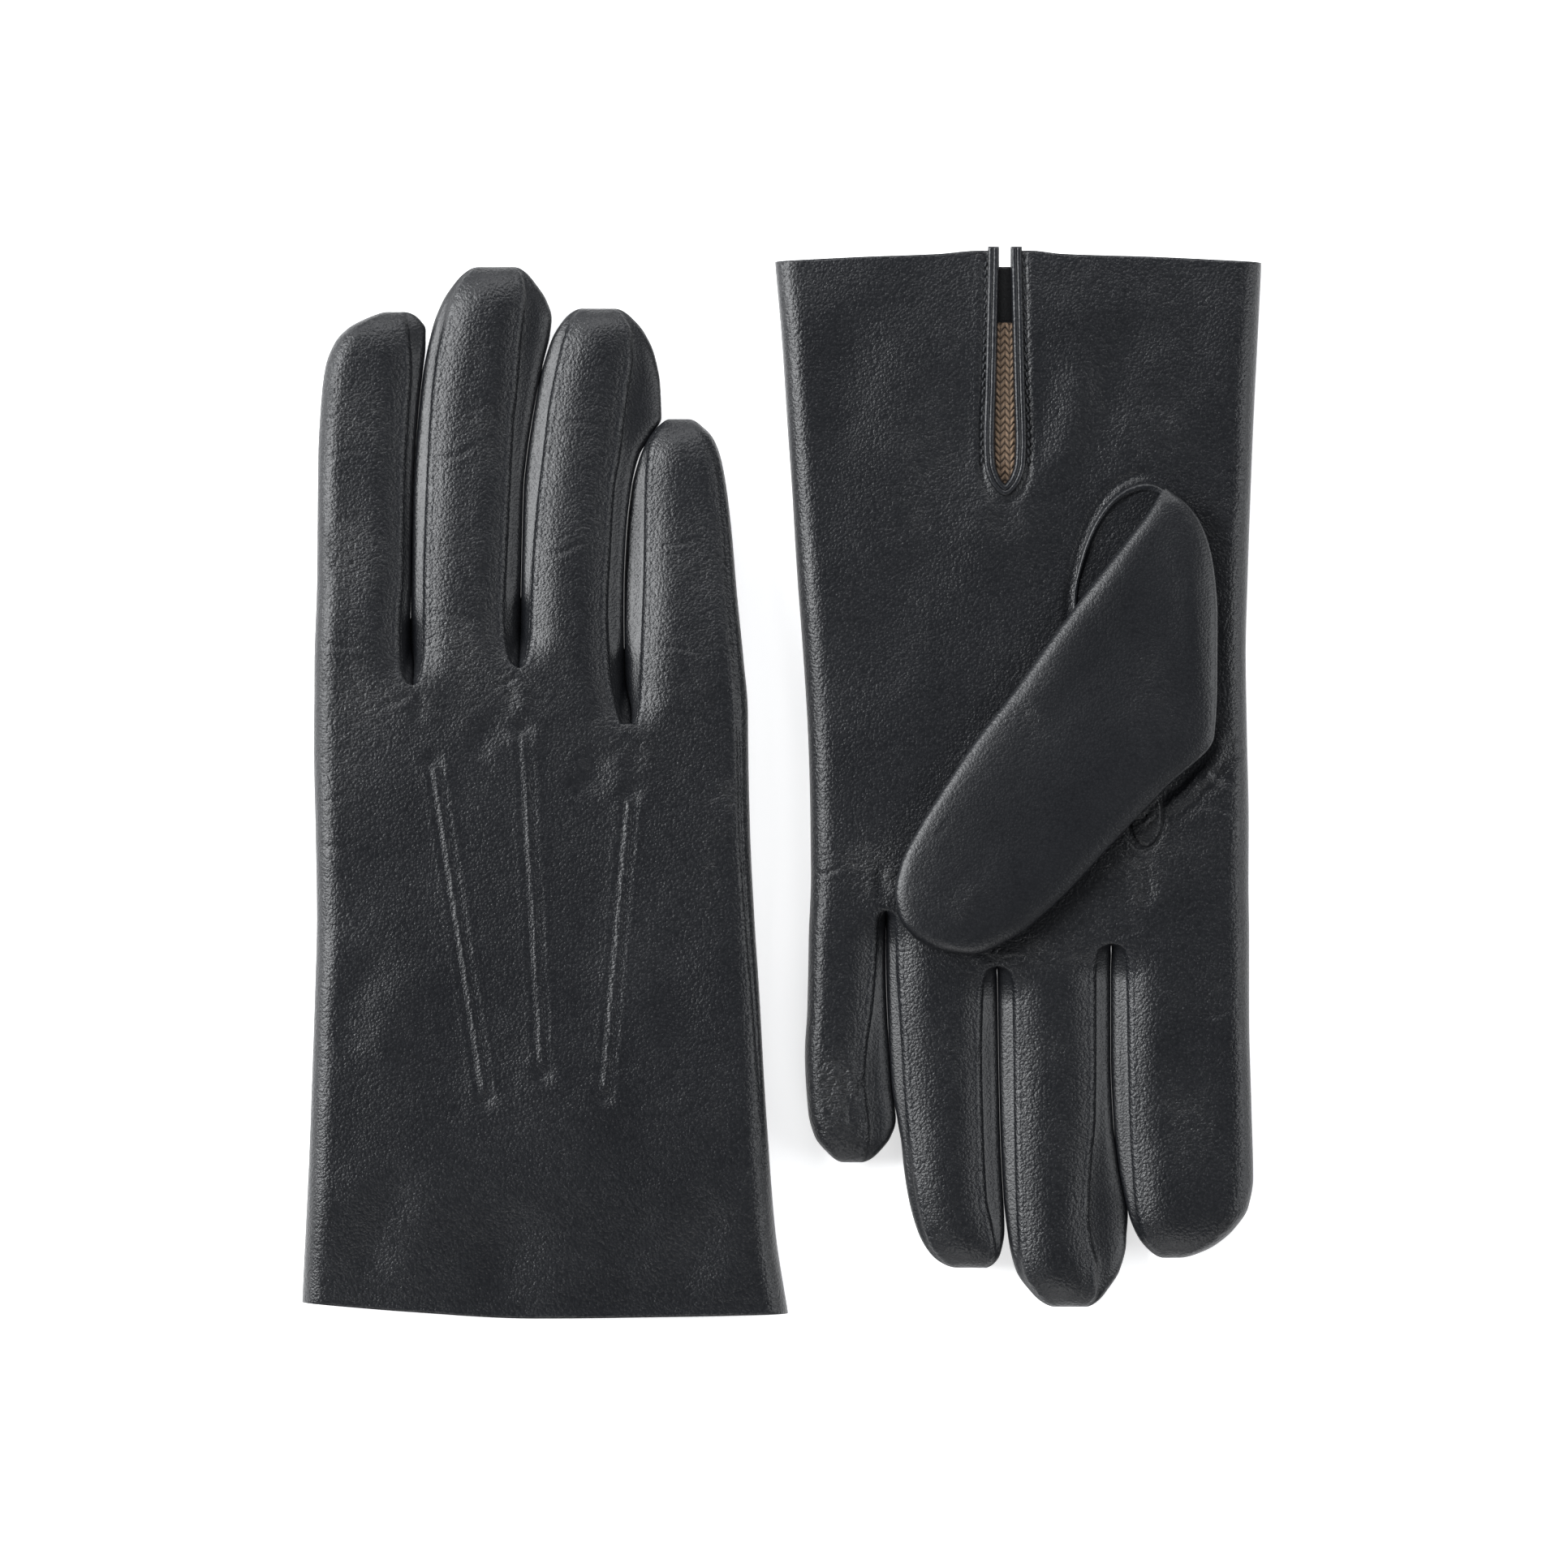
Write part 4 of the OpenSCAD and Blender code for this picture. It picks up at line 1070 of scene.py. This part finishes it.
def flat_map(obj, p=None):
    """Stores each point's place on the flat pattern, in mm, for patterns that follow the surface."""
    v = np.empty(3 * len(obj.data.vertices), np.float32)
    if p is None:
        obj.data.vertices.foreach_get("co", v)
        v *= 1000
    else:
        v[:] = p.ravel()
    obj.data.attributes.new("flat", "FLOAT_VECTOR", "POINT").data.foreach_set("vector", v)


def yarn_height(x, y):
    """Height of a knitted face, 0 to 1: columns of V stitches made of two slanting legs of round yarn."""
    column = x / KNIT_COLUMN
    half = np.abs(column - np.floor(column) - 0.5) * 2
    row = y / KNIT_ROW + half * 0.75
    leg = np.sqrt(np.clip(1 - (np.abs(row - np.floor(row) - 0.5) * 2.1) ** 2, 0, 1))
    return leg * np.clip(1 - (np.abs(half - 0.5) * 1.9) ** 4, 0, 1)


class GLOVES_OT_linings(bpy.types.Operator):
    """Knitted linings and the leather facings inside the cuffs"""
    bl_idname = "gloves.linings"
    bl_label = "Linings"

    def execute(self, context):
        for g in (RIGHT, LEFT):
            for kind, rows, inset, finish, nodes in (
                    ("facing", np.linspace(0.25, 15, 26), 0.85, "facing", [f"{SIDES[g]}_hem_facing"]),
                    ("hand_knit", np.linspace(14.6, 128, 120), 1.3, "knit", [f"{SIDES[g]}_hand_lining"])):
                p = hand_surface(g, inset, rows)
                # under the vent the other side of the lining lies close
                near = np.exp(-((p[..., 0] - VENT_X) / 9.0) ** 2) * (1 - smooth(52, 62, p[..., 1]))
                mid = (upper(g, p[..., 1]) + under(g, p[..., 1])) / 2
                if g == LEFT:
                    rise = (upper(g, p[..., 1]) - 3.0 - p[..., 2]) * near * (p[..., 2] < mid)
                    p[..., 2] = p[..., 2] + rise
                obj = mesh_object(f"{SIDES[g]}_{kind}", place(g, p).reshape(-1, 3),
                                  grid_faces(*p.shape[:2]), finish_of(finish))
                face_outwards(obj)
                flat_map(obj, p)
                thicken(obj, LINING_SHEET)
                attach(obj, f"{SIDES[g]}_hand")
                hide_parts(*nodes)
            x, y = np.meshgrid(np.linspace(-5.6, 5.6, 64), np.linspace(15.2, 57, 230))
            base, side = palm_at(g, y)
            z = base + side * (-2.25 - 0.022 * x ** 2 + 0.75 * yarn_height(x + 0.1 * waves(x, y, 61, 9), y))
            patch = np.stack([x + VENT_X, y, z], -1)
            obj = mesh_object(f"{SIDES[g]}_vent_knit", place(g, patch).reshape(-1, 3),
                              grid_faces(*x.shape), finish_of("knit_face"))
            face_towards(obj, side)
            flat_map(obj, np.stack([x, y, z], -1))
            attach(obj, f"{SIDES[g]}_hand")
            for f, name in enumerate(FINGERS):
                parts = finger_parts(g, f, 1.4)
                up, un = parts["upper"][0][::3, ::3], parts["under"][0][::3, ::3]
                grids = [up, np.stack([up[:, -1], un[:, 0]], 1), un, np.stack([un[:, -1], up[:, 0]], 1)]
                obj = joined(f"{SIDES[g]}_{name}_knit", [place(g, q) for q in grids], finish_of("knit"))
                flat_map(obj)
                full = f"{SIDES[g]}_{name}"
                start, end = bend_span(g, f)
                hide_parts(f"{full}_lining")
                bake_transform(obj)
        return {"FINISHED"}


# ---- vent, points and small pieces -------------------------------------------


def vent_path(first):
    """Points round the edge of the vent: from first down one side, round the closed end, and back."""
    y = np.concatenate([np.linspace(first, 46, 90), 46 + 8.6 * np.sin(np.linspace(0.03, math.pi / 2, 34))])
    side = np.stack([half_vent(y), y], -1)
    path = np.concatenate([side * [-1, 1], side[::-1][1:]])
    d = np.gradient(path, axis=0)
    n = np.stack([d[:, 1], -d[:, 0]], -1)
    n /= np.linalg.norm(n, axis=1, keepdims=True)
    for _ in range(6):
        n[1:-1] = (n[:-2] + 2 * n[1:-1] + n[2:]) / 4
        n /= np.linalg.norm(n, axis=1, keepdims=True)
    return path, n


def sweep(g, path, normal, profile):
    """A profile of (outwards, up) points carried along a path on the palm."""
    x = VENT_X + path[:, None, 0] - normal[:, None, 0] * profile[None, :, 0]
    y = path[:, None, 1] - normal[:, None, 1] * profile[None, :, 0]
    base, side = palm_at(g, y)
    z = base + side * profile[None, :, 1]
    return np.stack([x, y, np.broadcast_to(z, x.shape)], -1)


def tube_path(points, radius, sides=8, squash=1.0):
    """Round tube along each of many short paths: points is paths x steps x 3, closed at both ends by
    shrinking rings. Returns points and faces of all the tubes."""
    n, m = points.shape[:2]
    d = np.gradient(points, axis=1)
    d /= np.maximum(np.linalg.norm(d, axis=-1, keepdims=True), 1e-9)
    up = np.zeros_like(d)
    up[..., 2] = 1
    s = np.cross(d, up)
    s /= np.maximum(np.linalg.norm(s, axis=-1, keepdims=True), 1e-9)
    v = np.cross(s, d)
    t = np.linspace(0, 2 * math.pi, sides, endpoint=False)
    taper = np.sqrt(np.clip(1 - np.linspace(-1, 1, m) ** 6, 0.02, 1)) * radius
    cos, sin = np.cos(t)[None, None, :, None], np.sin(t)[None, None, :, None]
    ring = s[:, :, None] * cos + v[:, :, None] * squash * sin
    p = points[:, :, None] + ring * taper[None, :, None, None]
    one = grid_faces(m, sides, ring=True)
    faces = (one[None] + (np.arange(n) * m * sides)[:, None, None]).reshape(-1, 4)
    return p.reshape(-1, 3), faces


class GLOVES_OT_vents(bpy.types.Operator):
    """Leather binding and stitches round the vent at each cuff"""
    bl_idname = "gloves.vents"
    bl_label = "Vents"

    def execute(self, context):
        for g in (RIGHT, LEFT):
            path, n = vent_path(0.3 if g == RIGHT else -3.0)
            t = np.linspace(0, 1, 29)
            out = -0.1 + 2.15 * t
            up = (0.7 * rounding(t * 2.15, 0.45) * rounding((1 - t) * 2.15, 0.45)
                  - 0.62 * np.exp(-((t - 0.5) / 0.09) ** 2) - 0.1 * t)
            profile = np.concatenate([[(-0.1, -2.4), (-0.28, -1.2)], np.stack([out, up], -1),
                                      [(2.06, -0.5)]])
            p = sweep(g, path, n, profile)
            # painted highlight along the crown of the binding, stored with the wear
            shine = np.broadcast_to(np.append(np.append([0, 0], up > 0.55), 0.0)[None], p.shape[:2])
            obj = joined(f"{SIDES[g]}_vent_piping", [place(g, p)], finish_of("smooth"), [shine],
                         [np.zeros(p.shape[:2])])
            if g == RIGHT:
                obj.data.flip_normals()
            thicken(obj, BINDING_SHEET)
            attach(obj, f"{SIDES[g]}_hand")
            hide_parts(f"{SIDES[g]}_vent_binding")
            c = vent_rows()
            lines = []
            for s in (-1, 1):
                x = VENT_X + s * (half_vent(np.minimum(c, 47)) + VENT_ROW)
                base, side = palm_at(g, c)
                step = np.linspace(-1, 1, 7)[None]
                px = x[:, None] + s * 0.16 * step
                py = c[:, None] + 0.78 * step
                pz = base[:, None] + side * (0.06 - 0.3 * step ** 4)
                lines.append(np.stack([px, py, np.broadcast_to(pz, px.shape)], -1))
            pts, faces = tube_path(np.concatenate(lines), 0.27, 6, 0.8)
            obj = mesh_object(f"{SIDES[g]}_vent_stitches", place(g, pts), faces, finish_of("thread"))
            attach(obj, f"{SIDES[g]}_hand")
            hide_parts(f"{SIDES[g]}_vent_stitching")
        return {"FINISHED"}


class GLOVES_OT_points(bpy.types.Operator):
    """Rows of stitches along the raised lines on the back, and the raised lines underneath"""
    bl_idname = "gloves.points"
    bl_label = "Points"

    def execute(self, context):
        for g in (RIGHT, LEFT):
            lines = []
            for (x0, y0), (x1, y1) in POINT_LINES:
                length = math.hypot(x1 - x0, y1 - y0)
                ux, uy = (x1 - x0) / length, (y1 - y0) / length
                c = np.arange(0.8, length, POINT_STEP)
                step = np.linspace(-1, 1, 5)[None]
                for s in (-1, 1):
                    along = c[:, None] + 0.6 * step
                    across = s * POINT_ROW
                    x, y = x0 + ux * along - uy * across, y0 + uy * along + ux * across
                    if g == RIGHT:
                        z = upper(g, y) + relief(g, x, y) + 0.06 - 0.12 * step ** 2
                    else:
                        z = 0.45 + 0.1 * step ** 2 + 0 * y
                    lines.append(np.stack([x, y, z], -1))
            pts, faces = tube_path(np.concatenate(lines), 0.17, 6, 0.8)
            obj = mesh_object(f"{SIDES[g]}_back_stitches", place(g, pts), faces, finish_of("thread"))
            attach(obj, f"{SIDES[g]}_hand")
            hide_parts(f"{SIDES[g]}_point_stitching")
        # the back of the left glove lies underneath, so its raised lines are rolls of leather of their own
        ends = np.array(POINT_LINES)
        t = np.linspace(0, 1, 120)[None, :, None]
        line = ends[:, :1] + (ends[:, 1:] - ends[:, :1]) * t
        line = np.concatenate([line, np.full(line.shape[:2] + (1,), 0.6)], -1)
        pts, faces = tube_path(line, 0.85, 12, 0.5)
        obj = mesh_object("left_raised_lines", place(LEFT, pts), faces, finish_of("leather"))
        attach(obj, "left_hand")
        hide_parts("left_points")
        return {"FINISHED"}


class GLOVES_OT_quirks(bpy.types.Operator):
    """Small oval gussets at the thumb crotches"""
    bl_idname = "gloves.quirks"
    bl_label = "Quirks"

    def execute(self, context):
        for g in (RIGHT, LEFT):
            r = np.linspace(0.02, 1, 16)[:, None]
            t = np.linspace(0, 2 * math.pi, 49)[None, :-1]
            x = QUIRK[0] + QUIRK[2] * r * np.cos(t)
            y = QUIRK[1] + QUIRK[3] * r * np.sin(t)
            base, side = palm_at(g, y)
            up = 0.12 + 0.4 * (1 - r ** 3) - 0.7 * smooth(0.86, 1, r)
            up = up - 0.14 * np.sin((x - y) * 1.9) * (1 - r)
            p = np.stack([x, y, base + side * up], -1)
            obj = mesh_object(f"{SIDES[g]}_thumb_gusset", place(g, p).reshape(-1, 3),
                              grid_faces(16, 48, ring=True), finish_of("smooth"), np.zeros(p.shape[:2]),
                              np.full(p.shape[:2], 0.6))
            face_towards(obj, side)
            thicken(obj, GUSSET_SHEET)
            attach(obj, f"{SIDES[g]}_hand")
            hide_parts(f"{SIDES[g]}_quirk")
        return {"FINISHED"}


# ---- stage -----------------------------------------------------------------

# In metres: the floor lies just under the gloves; the camera hangs over them and its frame is this wide
# at the middle of their height. The sensor is in millimetres.
FLOOR_LEVEL, FLOOR_REACH = -0.0002, 2.5
CAMERA_AIM, CAMERA_HEIGHT, GLOVE_MIDDLE = (0.0005, 0.0004), 2.6, 0.012
FRAME_WIDTH, SENSOR = 0.37674, 36


class GLOVES_OT_stage(bpy.types.Operator):
    """Pale floor, soft lights and the camera straight above"""
    bl_idname = "gloves.stage"
    bl_label = "Stage"

    def execute(self, context):
        scene = bpy.context.scene
        f = Finish("pale_floor")
        where = f.node("ShaderNodeTexCoord", {}, None, 3)
        soft = f.node("ShaderNodeTexNoise", {}, {"Vector": where, "Scale": 3.0})
        f.set(colour=f.mix(soft, (0.93, 0.93, 0.93, 1), (0.95, 0.95, 0.95, 1)), roughness=0.9, specular=0.1)
        f.shader.inputs["Emission Color"].default_value = (1, 1, 1, 1)
        f.shader.inputs["Emission Strength"].default_value = 0.5
        n = 24
        x, y = np.meshgrid(*[np.linspace(-FLOOR_REACH, FLOOR_REACH, n)] * 2)
        z = np.full(x.shape, FLOOR_LEVEL)
        floor = mesh_object("floor", np.stack([x, y, z], -1).reshape(-1, 3), grid_faces(n, n), f.material)

        def lamp(name, at, size, power, colour=(1, 1, 1), aim=(0, 0, 0)):
            data = bpy.data.lights.new(name, "AREA")
            data.shape, data.size, data.size_y = "RECTANGLE", size[0], size[1]
            data.energy, data.color = power, colour
            o = bpy.data.objects.new(name, data)
            scene.collection.objects.link(o)
            at, aim = np.array(at, float), np.array(aim, float)
            d = at - aim
            d /= np.linalg.norm(d)
            o.location = at
            o.rotation_euler = (math.acos(d[2]), 0, math.atan2(d[1], d[0]) + math.pi / 2)
            return o

        lamp("key_left", (-1.25, 0.35, 0.85), (1.1, 1.0), 55, (0.97, 0.985, 1))
        lamp("top_back", (0.1, 1.3, 0.9), (1.6, 0.7), 20, (0.97, 0.98, 1))
        lamp("fill_right", (1.4, -0.1, 0.8), (0.9, 0.9), 13, (0.96, 0.98, 1))
        lamp("fill_front", (0.0, -1.4, 0.9), (1.4, 0.7), 10, (1, 1, 1))
        world = scene.world or bpy.data.worlds.new("studio")
        scene.world = world
        world.use_nodes = True
        background = world.node_tree.nodes["Background"]
        background.inputs[0].default_value = (0.9, 0.93, 1.0, 1)
        background.inputs[1].default_value = 0.12
        scene.view_settings.view_transform = "Standard"

        cam = bpy.data.cameras.new("camera")
        cam.sensor_width = SENSOR
        cam.lens = SENSOR * CAMERA_HEIGHT / FRAME_WIDTH
        cam.clip_start, cam.clip_end = 0.1, 20
        o = bpy.data.objects.new("camera", cam)
        scene.collection.objects.link(o)
        o.location = (*CAMERA_AIM, CAMERA_HEIGHT + GLOVE_MIDDLE)
        scene.camera = o
        return {"FINISHED"}


# ---- panel and registration ---------------------------------------------------


class GLOVES_PT_panel(bpy.types.Panel):
    """Lists the pieces of the gloves"""
    bl_label = "Leather gloves"
    bl_idname = "GLOVES_PT_panel"
    bl_space_type = "VIEW_3D"
    bl_region_type = "UI"
    bl_category = "Gloves"

    def draw(self, context):
        for key in ("wrinkle", "softness", "grain", "gap", "leather", "knit", "thread"):
            self.layout.prop(context.scene.gloves, key)
        for operator in OPERATORS:
            self.layout.operator(operator.bl_idname)


OPERATORS = (GLOVES_OT_stage, GLOVES_OT_hands, GLOVES_OT_fingers, GLOVES_OT_thumbs, GLOVES_OT_linings,
             GLOVES_OT_vents, GLOVES_OT_points, GLOVES_OT_quirks)
CLASSES = (GloveSettings, *OPERATORS, GLOVES_PT_panel)


def register():
    for c in CLASSES:
        bpy.utils.register_class(c)
    bpy.types.Scene.gloves = bpy.props.PointerProperty(type=GloveSettings)


def unregister():
    del bpy.types.Scene.gloves
    for c in reversed(CLASSES):
        bpy.utils.unregister_class(c)


def main():
    register()
    for operator in OPERATORS:
        group, name = operator.bl_idname.split(".")
        getattr(getattr(bpy.ops, group), name)()


if __name__ == "__main__":
    main()
